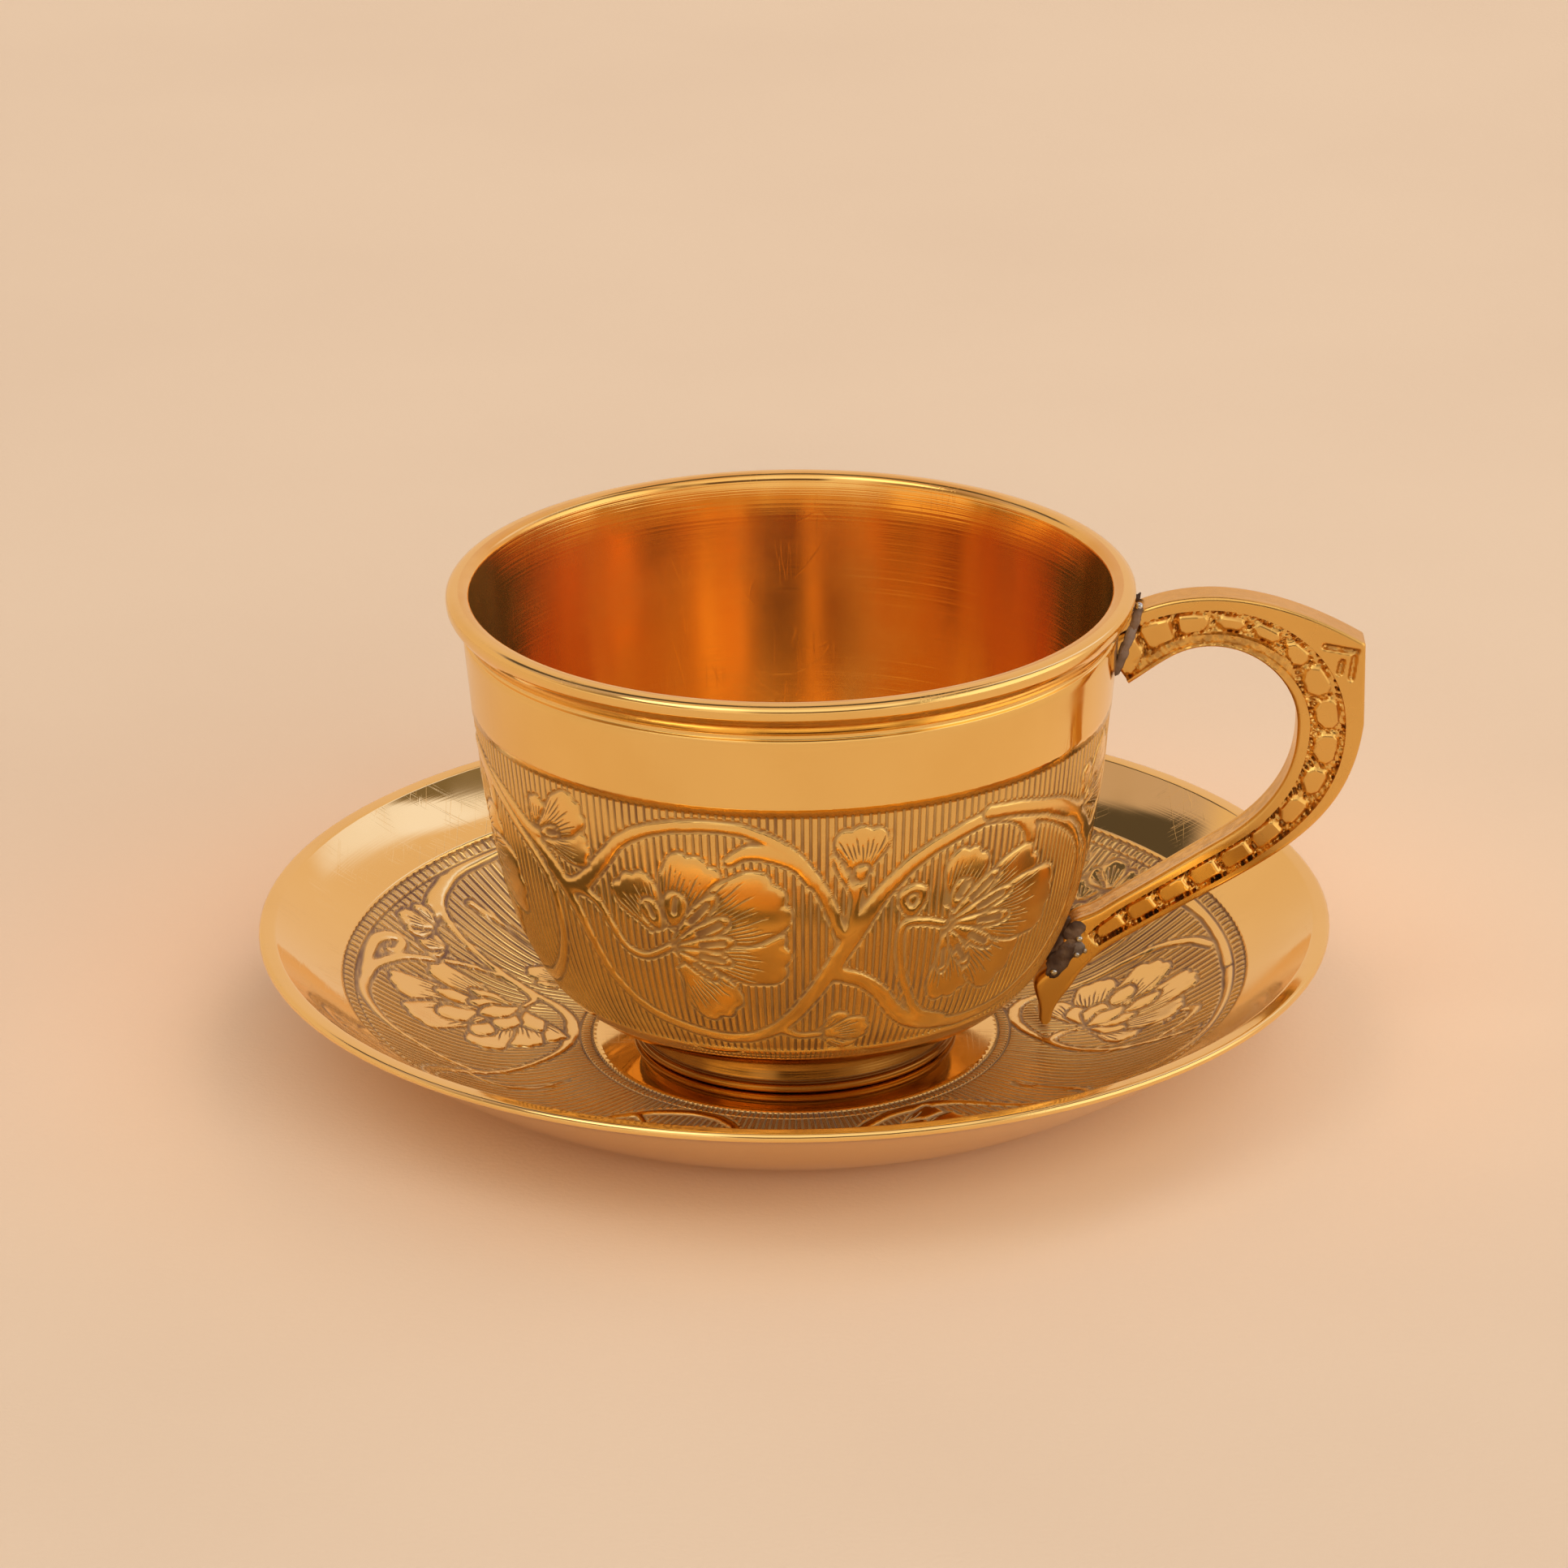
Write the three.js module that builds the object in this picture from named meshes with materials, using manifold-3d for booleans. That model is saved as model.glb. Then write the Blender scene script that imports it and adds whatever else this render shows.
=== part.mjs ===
// Brass cup and saucer: a footed tea cup with a cast handle, standing on a dished saucer.
// Millimetres, +Z up. The origin is the centre of the saucer's base, and the handle points along +X.
import * as THREE from 'three';
import { mergeVertices } from 'three/addons/utils/BufferGeometryUtils.js';
import Module from 'manifold-3d';

const wasm = await Module();
wasm.setup();

// Saucer
const SAUCER_RADIUS = 65; // to the outer edge of the rim
const SAUCER_HEIGHT = 17; // base to the top of the lip
const SAUCER_WALL = 1.5; // the same in the floor and in the wall
const SAUCER_FLOOR_RADIUS = 31.7; // where the flat floor starts to rise
const SAUCER_LIP_WIDTH = 2.2; // flat ring around the rim
const SAUCER_LIP_THICKNESS = 1.1;
const SAUCER_BEND = 0.314; // where floor and wall lines cross, as a share of the rise's run
const SAUCER_CURVE = 0.82; // pull of the rise's curve towards that crossing

// Bowl of the cup
const CUP_HEIGHT = 58.2; // underside of the foot to the top of the rim
const BOWL_WALL = 1.3;
const NECK_RADIUS = 39.3; // outside, in the groove under the lip
const LIP_FLARE = 1.95; // how far the lip stands out past the neck
const LIP_WIDTH = 2.45; // ring on top of the lip
const LIP_SLOPE = 0.9; // fall of that ring from the mouth to its outer edge
const LIP_HEIGHT = 2.5; // top of the rim to the groove under the lip
const WALL_TAPER = THREE.MathUtils.degToRad(5.3);
const BELLY_DROP = 14.8; // top of the rim to the end of the straight wall
const BASE_RADIUS = 19.1; // flat underside that the foot ring is brazed to
const BOWL_SIDE = 0.71; // fullness of the curve below the straight wall
const BOWL_BASE = 0.653; // fullness of the curve beside the flat underside
const BASE_RISE = 1; // rise of the line that this curve leaves the underside along

// Foot ring
const FOOT_HEIGHT = 4.7;
const FOOT_WALL = 2.6;
const FOOT_FLARE = 0.6; // bottom bead past the bowl's underside
const FOOT_NECK = 0.6; // neck inside the bowl's underside
const FOOT_BEAD_HEIGHT = 1.2;
const FOOT_GROOVE_DEPTH = 0.35; // turned line above the bead

// Handle: places are measured outwards from the neck and down from the rim or up from the base
const HANDLE_THICKNESS = 4.4;
const CREST_OUT = 10.9;
const CREST_DROP = 4.9;
const SIDE_OUT = 25.2;
const SIDE_DROP = 18.2;
const ELBOW_OUT = 13.4;
const ELBOW_RISE = 18.05;
const BEND_OUT = 1.8;
const BEND_RISE = 11.1;
const ARM_HEADING = THREE.MathUtils.degToRad(-149); // from the elbow down to the bend
const TAIL_INSET = 8.7;
const TAIL_CLEARANCE = 1.1; // round end of the tail to the saucer
const UPPER_ROOT_DROP = 9.5;
const UPPER_ROOT_HEADING = THREE.MathUtils.degToRad(34);
const LOWER_ROOT_RISE = 5.8;
const ROOT_HALF_DEPTH = 3.8;
const CREST_HALF_DEPTH = 3.15;
const SIDE_HALF_DEPTH = 3.8;
const ELBOW_HALF_DEPTH = 2.6;
const BEND_HALF_DEPTH = 2.4;
const TAIL_HALF_DEPTH = 1.5;
const LOWER_ROOT_RADIUS = 3.3;
const SPUR_OUT = 29.4; // pointed corner at the top of the handle's outer side
const SPUR_DROP = 7.9;
const SPUR_START = 0.4; // where its top and side leave the band, as shares from crest to side
const SPUR_END = 0.95;
const CHANNEL_BORDER = 1.4; // raised edge on both sides of the beaded channel
const CHANNEL_DEPTH = 0.7;
const CHANNEL_START = 4.4; // along the handle's middle, from its upper end
const CHANNEL_END = 5.5; // along the handle's middle, past the bend
const BEAD_COUNT = 17;
const BEAD_LENGTH = 3.4;
const BEAD_DROP = 0.15; // top of a bead below the border

// Braze
const SEAM_CLEARANCE = 0.3; // braze to the pieces that it joins
const SEAM_THICKNESS = 1.0;
const SEAM_OVERHANG = 0.6; // braze past the edge of the handle's root
const FILLET_LEG = 1.6;

// Facets
const TURNED_FACETS = 60;
const CURVE_STEPS = 7;
const EDGE_STEPS = 4;
const BAND_STEPS = 48;
const BEAD_SIDES = 8;
const STATION_PULL = 0.38; // reach of the handle's curve handles, as a share of each chord

const saucerFloor = SAUCER_WALL;
const rimTop = saucerFloor + CUP_HEIGHT;
const bowlBase = saucerFloor + FOOT_HEIGHT;

const brass = { color: 0xd8a03f, roughness: 0.22, metalness: 1 };
const castBrass = { color: 0xc98f35, roughness: 0.32, metalness: 1 };
const braze = { color: 0x4a3f38, roughness: 0.6, metalness: 0.7 };

/** A point of a turned profile: distance from the axis and height. */
const point = (r, z) => new THREE.Vector2(r, z);

/** Points of a cubic curve, both ends included. */
const cubic = (a, b, c, d, steps = CURVE_STEPS) => new THREE.CubicBezierCurve(a, b, c, d).getPoints(steps);

/** Moves an open line of points sideways, to its left for a positive distance. */
function offset(points, distance) {
  return points.map((p, i) => {
    const before = points[Math.max(i - 1, 0)];
    const after = points[Math.min(i + 1, points.length - 1)];
    const along = after.clone().sub(before).normalize();
    return point(p.x - along.y * distance, p.y + along.x * distance);
  });
}

/** Height, or radius, of a line of points where its other coordinate passes a value. */
function crossing(points, from, to, value) {
  const i = points.findIndex((p, k) => k > 0 && (points[k - 1][from] - value) * (p[from] - value) <= 0);
  const [a, b] = [points[i - 1], points[i]];
  return THREE.MathUtils.mapLinear(value, a[from], b[from], a[to], b[to]);
}

/** Keeps only positions and merges equal ones, and drops the triangles that this closes up. */
function welded(geometry) {
  geometry.deleteAttribute('normal');
  geometry.deleteAttribute('uv');
  const merged = mergeVertices(geometry);
  const index = [];
  for (let i = 0; i < merged.index.count; i += 3) {
    const [a, b, c] = [0, 1, 2].map((k) => merged.index.getX(i + k));
    if (a !== b && b !== c && c !== a) index.push(a, b, c);
  }
  return merged.setIndex(index);
}

/** Turns a profile about the Z axis. Its outer side runs upwards. */
function turned(profile) {
  return welded(new THREE.LatheGeometry(profile, TURNED_FACETS).rotateX(Math.PI / 2));
}

/** A plate of an outline in the XZ plane, as thick as given, centred on the given Y. */
function plate(outline, thickness, centreY = 0) {
  const shape = new THREE.Shape(outline);
  const geometry = new THREE.ExtrudeGeometry(shape, { depth: thickness, bevelEnabled: false });
  return welded(geometry.rotateX(Math.PI / 2).translate(0, centreY + thickness / 2, 0));
}

/** Closed mesh to a solid that can be joined and cut. */
function solid(geometry) {
  const vertProperties = new Float32Array(geometry.getAttribute('position').array);
  const triVerts = new Uint32Array(geometry.index.array);
  return new wasm.Manifold(new wasm.Mesh({ numProp: 3, vertProperties, triVerts }));
}

/** One solid from several that overlap or touch. */
const join = (solids) => solids.reduce((rest, next) => rest.add(next));

/** Joined or cut solid back to a mesh. */
function geometryOf(manifold) {
  const { vertProperties, triVerts } = manifold.getMesh();
  const geometry = new THREE.BufferGeometry();
  geometry.setAttribute('position', new THREE.BufferAttribute(vertProperties, 3));
  return geometry.setIndex(new THREE.BufferAttribute(triVerts, 1));
}

/** One named piece of the object. */
function piece(name, geometry, finish) {
  const mesh = new THREE.Mesh(geometry, new THREE.MeshStandardMaterial(finish));
  mesh.geometry.computeVertexNormals();
  mesh.name = name;
  return mesh;
}

/** Top face of the saucer from the edge of its floor to the inner edge of its lip. */
function saucerRise() {
  const start = point(SAUCER_FLOOR_RADIUS, saucerFloor);
  const end = point(SAUCER_RADIUS - SAUCER_LIP_WIDTH, SAUCER_HEIGHT);
  const corner = point(THREE.MathUtils.lerp(start.x, end.x, SAUCER_BEND), start.y);
  return cubic(start, start.clone().lerp(corner, SAUCER_CURVE), end.clone().lerp(corner, SAUCER_CURVE), end);
}

/** Half-round edge of the saucer's lip, from below to above. */
function saucerEdge() {
  const radius = SAUCER_LIP_THICKNESS / 2;
  const arc = new THREE.EllipseCurve(
    SAUCER_RADIUS - radius, SAUCER_HEIGHT - radius, radius, radius, -Math.PI / 2, Math.PI / 2);
  return arc.getPoints(2 * EDGE_STEPS);
}

function saucer() {
  const rise = saucerRise();
  const underside = offset(rise, -SAUCER_WALL);
  underside[0].y = 0;
  const profile = [point(0, 0), ...underside, ...saucerEdge(), ...rise.toReversed(), point(0, saucerFloor)];
  return piece('saucer', turned(profile), brass);
}

/** Outside of the bowl from the edge of its underside up to the end of its straight wall. */
function bowlOutside() {
  const neck = point(NECK_RADIUS, rimTop - LIP_HEIGHT);
  const bellyHeight = rimTop - BELLY_DROP;
  const belly = point(NECK_RADIUS - (neck.y - bellyHeight) * Math.tan(WALL_TAPER), bellyHeight);
  const base = point(BASE_RADIUS, bowlBase);
  const fall = (belly.y - base.y) * BOWL_SIDE;
  const side = point(belly.x - fall * Math.tan(WALL_TAPER), belly.y - fall);
  const beside = point(THREE.MathUtils.lerp(base.x, belly.x, BOWL_BASE), bowlBase + BASE_RISE);
  return [...cubic(base, beside, side, belly, 2 * CURVE_STEPS), neck];
}

/** Lip from the groove under it, over its round edge, to the mouth. */
function lip() {
  const outer = NECK_RADIUS + LIP_FLARE;
  const mouth = point(outer - LIP_WIDTH, rimTop);
  const crown = point(outer, rimTop - LIP_SLOPE);
  const neck = point(NECK_RADIUS, rimTop - LIP_HEIGHT);
  const under = cubic(neck, point(neck.x, crown.y), point(outer, (neck.y + crown.y) / 2), crown, EDGE_STEPS);
  const over = cubic(crown, point(outer, rimTop), point(mouth.x, rimTop), mouth, EDGE_STEPS);
  return [...under.slice(1), ...over.slice(1)];
}

function cupBowl() {
  const outside = bowlOutside();
  const inside = offset(outside, BOWL_WALL);
  inside[0].y = bowlBase + BOWL_WALL;
  const profile = [
    point(0, bowlBase), ...outside, ...lip(), ...inside.toReversed(), point(0, bowlBase + BOWL_WALL)];
  return piece('cup_bowl', turned(profile), brass);
}

/** Solid cup shape that stands off the bowl's outside by a distance, for cutting what meets the bowl. */
function bowlEnvelope(distance) {
  const outside = offset([...bowlOutside(), ...lip()], -distance);
  const bottom = bowlBase - distance;
  const top = rimTop + distance;
  const [first, last] = [outside[0], outside.at(-1)];
  const profile = [point(0, bottom), point(first.x, bottom), ...outside, point(last.x, top), point(0, top)];
  return solid(turned(profile));
}

function footRing() {
  const bead = BASE_RADIUS + FOOT_FLARE;
  const neck = BASE_RADIUS - FOOT_NECK;
  const inner = BASE_RADIUS - FOOT_WALL;
  const beadTop = saucerFloor + FOOT_BEAD_HEIGHT;
  const neckHeight = (beadTop + bowlBase) / 2;
  const start = point(inner, saucerFloor);
  const profile = [
    start,
    point(bead - FOOT_GROOVE_DEPTH, saucerFloor),
    point(bead, saucerFloor + FOOT_BEAD_HEIGHT / 2),
    point(bead - FOOT_GROOVE_DEPTH, beadTop),
    ...cubic(
      point(bead - FOOT_GROOVE_DEPTH / 2, beadTop + FOOT_GROOVE_DEPTH),
      point(neck, neckHeight),
      point(neck, neckHeight),
      point(BASE_RADIUS, bowlBase),
      EDGE_STEPS),
    point(inner, bowlBase),
    start.clone(),
  ];
  return piece('foot_ring', turned(profile), brass);
}

/** Triangular fillet in the corner between the foot ring's inner wall and the bowl's underside. */
function footBraze() {
  const wall = BASE_RADIUS - FOOT_WALL - SEAM_CLEARANCE;
  const top = bowlBase - SEAM_CLEARANCE;
  const start = point(wall - FILLET_LEG, top);
  const profile = [start, point(wall, top - FILLET_LEG), point(wall, top), start.clone()];
  return piece('foot_braze', turned(profile), braze);
}

/** Stations along the middle of the handle, from the upper root to the tail. */
function handleStations() {
  const outside = bowlOutside();
  const rootHeight = rimTop - UPPER_ROOT_DROP;
  const tailX = NECK_RADIUS - TAIL_INSET;
  const saucerTop = tailX > SAUCER_FLOOR_RADIUS ? crossing(saucerRise(), 'x', 'y', tailX) : saucerFloor;
  const tailHeight = saucerTop + TAIL_CLEARANCE + TAIL_HALF_DEPTH;
  return [
    { x: crossing(outside, 'y', 'x', rootHeight) - BOWL_WALL / 2, z: rootHeight,
      heading: UPPER_ROOT_HEADING, half: ROOT_HALF_DEPTH },
    { x: NECK_RADIUS + CREST_OUT, z: rimTop - CREST_DROP, heading: 0, half: CREST_HALF_DEPTH },
    { x: NECK_RADIUS + SIDE_OUT, z: rimTop - SIDE_DROP, heading: -Math.PI / 2, half: SIDE_HALF_DEPTH },
    { x: NECK_RADIUS + ELBOW_OUT, z: bowlBase + ELBOW_RISE, heading: ARM_HEADING, half: ELBOW_HALF_DEPTH },
    { x: NECK_RADIUS + BEND_OUT, z: bowlBase + BEND_RISE, heading: ARM_HEADING, half: BEND_HALF_DEPTH },
    { x: tailX, z: tailHeight, heading: -Math.PI / 2, half: TAIL_HALF_DEPTH },
  ];
}

/** Middle of the handle as one curve, with a point, a direction and a half depth at each share of it. */
function handlePath() {
  const stations = handleStations();
  const path = new THREE.CurvePath();
  for (let i = 1; i < stations.length; i += 1) {
    const [from, to] = [stations[i - 1], stations[i]];
    const a = point(from.x, from.z);
    const d = point(to.x, to.z);
    const pull = STATION_PULL * a.distanceTo(d);
    const b = point(a.x + pull * Math.cos(from.heading), a.y + pull * Math.sin(from.heading));
    const c = point(d.x - pull * Math.cos(to.heading), d.y - pull * Math.sin(to.heading));
    path.add(new THREE.CubicBezierCurve(a, b, c, d));
  }
  const lengths = [0, ...path.getCurveLengths()];
  const total = lengths.at(-1);
  const half = (share) => {
    const along = share * total;
    const i = Math.min(lengths.findLastIndex((length) => length <= along), stations.length - 2);
    const t = THREE.MathUtils.smoothstep(along, lengths[i], lengths[i + 1]);
    return THREE.MathUtils.lerp(stations[i].half, stations[i + 1].half, t);
  };
  const side = (share, distance) => {
    const p = path.getPointAt(share);
    const along = path.getTangentAt(share);
    return point(p.x - along.y * distance, p.y + along.x * distance);
  };
  const shareAt = (station, past = 0) => (lengths[station] + past) / total;
  return { path, half, side, shareAt };
}

/** Outline of a band along the handle's middle, between two shares, set in from its edges. */
function handleBand(middle, from, to, setIn) {
  const steps = Math.round((to - from) * BAND_STEPS);
  const shares = Array.from({ length: steps + 1 }, (_, i) => THREE.MathUtils.lerp(from, to, i / steps));
  const outer = shares.map((share) => middle.side(share, middle.half(share) - setIn));
  const inner = shares.map((share) => middle.side(share, setIn - middle.half(share)));
  return [...outer, ...inner.toReversed()];
}

/** Pointed corner that fills out the band between the crest and the side. */
function handleSpur(middle) {
  const [crest, side] = [middle.shareAt(1), middle.shareAt(2)];
  const start = THREE.MathUtils.lerp(crest, side, SPUR_START);
  const end = THREE.MathUtils.lerp(crest, side, SPUR_END);
  const centre = (start + end) / 2;
  return [
    middle.side(start, middle.half(start)),
    middle.side(centre, 0),
    middle.side(end, middle.half(end)),
    point(NECK_RADIUS + SPUR_OUT, rimTop - SPUR_DROP),
  ];
}

/** Circle in the handle's plane. */
function disc(x, z, radius) {
  return new THREE.EllipseCurve(x, z, radius, radius).getPoints(2 * CURVE_STEPS).slice(0, -1);
}

/** Round boss that carries the lower arm to the bowl. */
function lowerRootOutline(radius) {
  const height = bowlBase + LOWER_ROOT_RISE;
  return disc(crossing(bowlOutside(), 'y', 'x', height) + SEAM_THICKNESS, height, radius);
}

/** Octagonal beads in a row along the channel, right through the handle. */
function handleBeads(middle, from, to) {
  return Array.from({ length: BEAD_COUNT }, (_, i) => {
    const share = THREE.MathUtils.lerp(from, to, (i + 0.5) / BEAD_COUNT);
    const centre = middle.path.getPointAt(share);
    const along = middle.path.getTangentAt(share);
    const width = 2 * (middle.half(share) - CHANNEL_BORDER);
    const bead = new THREE.CylinderGeometry(
      0.5, 0.5, HANDLE_THICKNESS - 2 * BEAD_DROP, BEAD_SIDES, 1, false, Math.PI / BEAD_SIDES);
    bead.scale(BEAD_LENGTH, 1, width).rotateY(-Math.atan2(along.y, along.x));
    return solid(welded(bead.translate(centre.x, 0, centre.y)));
  });
}

function handle() {
  const middle = handlePath();
  const channelFrom = middle.shareAt(0, CHANNEL_START);
  const channelTo = middle.shareAt(4, CHANNEL_END);
  const tail = middle.path.getPointAt(1);
  const outlines = [
    handleBand(middle, 0, 1, 0),
    handleSpur(middle),
    lowerRootOutline(LOWER_ROOT_RADIUS),
    disc(tail.x, tail.y, TAIL_HALF_DEPTH),
  ];
  const channel = handleBand(middle, channelFrom, channelTo, CHANNEL_BORDER);
  const faces = [-HANDLE_THICKNESS / 2, HANDLE_THICKNESS / 2];
  const body = join(outlines.map((outline) => solid(plate(outline, HANDLE_THICKNESS))));
  const cuts = join(faces.map((face) => solid(plate(channel, 2 * CHANNEL_DEPTH, face))));
  const seat = bowlEnvelope(SEAM_THICKNESS + 2 * SEAM_CLEARANCE);
  const beads = handleBeads(middle, channelFrom, channelTo);
  return piece('handle', geometryOf(join([body.subtract(cuts), ...beads]).subtract(seat)), castBrass);
}

/** Pad of braze against the bowl, inside an outline that is a little wider than the handle's root. */
function seam(name, outline) {
  const pad = solid(plate(outline, HANDLE_THICKNESS + 2 * SEAM_OVERHANG))
    .intersect(bowlEnvelope(SEAM_CLEARANCE + SEAM_THICKNESS))
    .subtract(bowlEnvelope(SEAM_CLEARANCE));
  return piece(name, geometryOf(pad), braze);
}

function upperBraze() {
  const climb = (SEAM_THICKNESS + 2 * SEAM_CLEARANCE) * Math.tan(UPPER_ROOT_HEADING);
  const height = rimTop - UPPER_ROOT_DROP + climb;
  const wall = crossing(bowlOutside(), 'y', 'x', height);
  const reach = ROOT_HALF_DEPTH / Math.cos(UPPER_ROOT_HEADING) + SEAM_OVERHANG;
  const outline = [
    point(wall - BOWL_WALL, height - reach),
    point(wall + SEAM_THICKNESS + BOWL_WALL, height - reach),
    point(wall + SEAM_THICKNESS + BOWL_WALL, height + reach),
    point(wall - BOWL_WALL, height + reach),
  ];
  return seam('upper_braze', outline);
}

const lowerBraze = () => seam('lower_braze', lowerRootOutline(LOWER_ROOT_RADIUS + SEAM_OVERHANG));

const cup = new THREE.Group();
cup.name = 'cup';
cup.add(cupBowl(), footRing(), footBraze(), handle(), upperBraze(), lowerBraze());

const cupAndSaucer = new THREE.Group();
cupAndSaucer.name = 'cup_and_saucer';
cupAndSaucer.add(saucer(), cup);

export default cupAndSaucer;
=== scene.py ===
"""Looks of a brass cup and saucer: chased bowl and dish, cast beaded handle, braze and a plain studio.

A surface is worked out in millimetres and becomes a mesh in metres. Angles round the axis start at
the front, which is -Y, and grow towards the handle, which is +X.
"""
import logging
import math
from dataclasses import dataclass, field
from enum import Enum
from functools import partial, reduce

import bpy
import numpy as np
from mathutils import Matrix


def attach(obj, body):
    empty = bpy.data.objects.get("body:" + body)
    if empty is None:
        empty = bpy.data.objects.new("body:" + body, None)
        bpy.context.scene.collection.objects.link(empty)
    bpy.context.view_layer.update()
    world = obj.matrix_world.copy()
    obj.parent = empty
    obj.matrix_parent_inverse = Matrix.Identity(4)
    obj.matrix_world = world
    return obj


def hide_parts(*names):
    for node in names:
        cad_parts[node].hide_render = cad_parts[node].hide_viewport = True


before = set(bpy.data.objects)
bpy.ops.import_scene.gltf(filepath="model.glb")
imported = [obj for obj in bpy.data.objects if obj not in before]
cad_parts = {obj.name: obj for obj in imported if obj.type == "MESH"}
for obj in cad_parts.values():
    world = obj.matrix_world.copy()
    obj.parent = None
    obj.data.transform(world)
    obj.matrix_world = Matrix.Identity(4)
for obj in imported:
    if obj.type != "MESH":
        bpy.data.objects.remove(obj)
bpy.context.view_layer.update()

Array = np.ndarray
Material = bpy.types.Material
Tree = bpy.types.NodeTree
Node = bpy.types.Node
Socket = bpy.types.NodeSocket
Outputs = bpy.types.bpy_prop_collection
Pair = tuple[float, float]
Triple = tuple[float, float, float]
Quad = tuple[float, float, float, float]
Colour = Quad
Points = tuple[Pair, ...]

MM = 0.001
TURN = 2.0 * math.pi
BAKE_MAP = "OFBake"
WRAP_MAP = "wrap"
FAR = 2.0  # mm, the most that a distance on the chasing says
STROKE_STEPS = 5  # straight pieces between two points of a stroke
log = logging.getLogger("cup_and_saucer")


class Slot(Enum):
    """Material slots of the record."""

    POLISHED = "polished_brass"
    TURNED = "turned_brass"
    CAST = "cast_brass"
    BRAZE = "braze"


class Body(Enum):
    """Bodies that the pieces ride on."""

    SAUCER = "saucer"
    CUP = "cup"


# Curves and steps


def smooth(low: float, high: float, value: Array) -> Array:
    """Smooth step: 3t^2 - 2t^3, where t is the clipped share of the way from low to high."""
    share = np.clip((value - low) / (high - low), 0.0, 1.0)
    return share * share * (3.0 - 2.0 * share)


def bezier(corners: Points, count: int) -> Array:
    """Cubic Bezier curve: the four corners weighted by the Bernstein polynomials.

    Args:
        corners: start, two control points and end.
        count: how many points to give.

    Returns:
        Points on the curve, one a row.
    """
    share = np.linspace(0.0, 1.0, count)[:, None]
    start, first, second, end = np.asarray(corners, float)
    back = 1.0 - share
    return (back**3 * start + 3.0 * back**2 * share * first
            + 3.0 * back * share**2 * second + share**3 * end)


def spline(points: Points, per_span: int) -> Array:
    """Catmull-Rom curve: cubic spans whose slope at a point is half the step between its neighbours.

    Args:
        points: points that the curve passes through.
        per_span: samples between two points.

    Returns:
        Points on the curve, one a row.
    """
    knots = np.asarray(points, float)
    padded = np.vstack([2.0 * knots[0] - knots[1], knots, 2.0 * knots[-1] - knots[-2]])
    share = np.linspace(0.0, 1.0, per_span, endpoint=False)[None, :, None]
    before, start, end, after = (padded[i:len(padded) - 3 + i, None] for i in range(4))
    curve = 0.5 * (2.0 * start + (end - before) * share
                   + (2.0 * before - 5.0 * start + 4.0 * end - after) * share**2
                   + (3.0 * start - before - 3.0 * end + after) * share**3)
    return np.vstack([curve.reshape(-1, knots.shape[1]), knots[-1:]])


def travelled(line: Array) -> Array:
    """Length along a line up to each of its points."""
    return np.concatenate([[0.0], np.cumsum(np.linalg.norm(np.diff(line, axis=0), axis=1))])


def respaced(line: Array, stops: Array) -> Array:
    """Points on the straight pieces of a line, at given shares of its length."""
    length = travelled(line)
    return np.stack([np.interp(stops * length[-1], length, axis) for axis in line.T], axis=1)


def unit(vectors: Array) -> Array:
    """Vectors over their lengths."""
    return vectors / np.linalg.norm(vectors, axis=-1, keepdims=True)


def bent(share: Array, start: Array, corner: Array, end: Array) -> Array:
    """Quadratic Bezier curve at given shares of the way from start to end, drawn towards a corner."""
    return (1.0 - share)**2 * start + 2.0 * (1.0 - share) * share * corner + share**2 * end


def right_normals(line: Array) -> Array:
    """Unit normals on the right of travel: (dz, -dr) of the slope (dr, dz)."""
    slope = np.gradient(line, travelled(line), axis=0)
    return unit(np.stack([slope[:, 1], -slope[:, 0]], axis=1))


def offset_line(line: Array, distance: float) -> Array:
    """The line moved to the right of its travel by a distance."""
    return line + distance * right_normals(line)


def ripple(seed: int, place: Array, longest: float, waves: int = 6) -> Array:
    """Seeded waviness: a sum of sines with random directions and phases, each shorter and lower.

    Args:
        seed: picks the directions and phases.
        place: places, one a row in the last axis.
        longest: length of the longest wave.
        waves: how many sines to add.

    Returns:
        The waviness at each place, from about -1 to 1.
    """
    draw = np.random.default_rng(seed)
    total = np.zeros(place.shape[:-1])
    for number in range(waves):
        direction = unit(draw.normal(size=place.shape[-1]))
        length = longest / 1.55**number
        phase = draw.uniform(0.0, TURN)
        total += np.sin(place @ direction * TURN / length + phase) / 1.35**number
    return total / 2.2


# Surfaces and meshes


@dataclass
class Surface:
    """Points, faces, map places and values of a surface before it is a mesh.

    Attributes:
        points: one point a row, in mm.
        faces: arrays of point numbers, one face a row.
        chart: map places of the face corners, an array for each array of faces.
        values: a number at each point, by name.
    """

    points: Array
    faces: list[Array]
    chart: list[Array]
    values: dict[str, Array] = field(default_factory=dict)

    def joined(self, other: "Surface") -> "Surface":
        """Both surfaces as one, with the same values on each.

        Args:
            other: the surface to add.

        Returns:
            The whole.
        """
        shift = len(self.points)
        return Surface(
            np.vstack([self.points, other.points]),
            self.faces + [face + shift for face in other.faces],
            self.chart + other.chart,
            {name: np.concatenate([value, other.values[name]]) for name, value in self.values.items()},
        )


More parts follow.
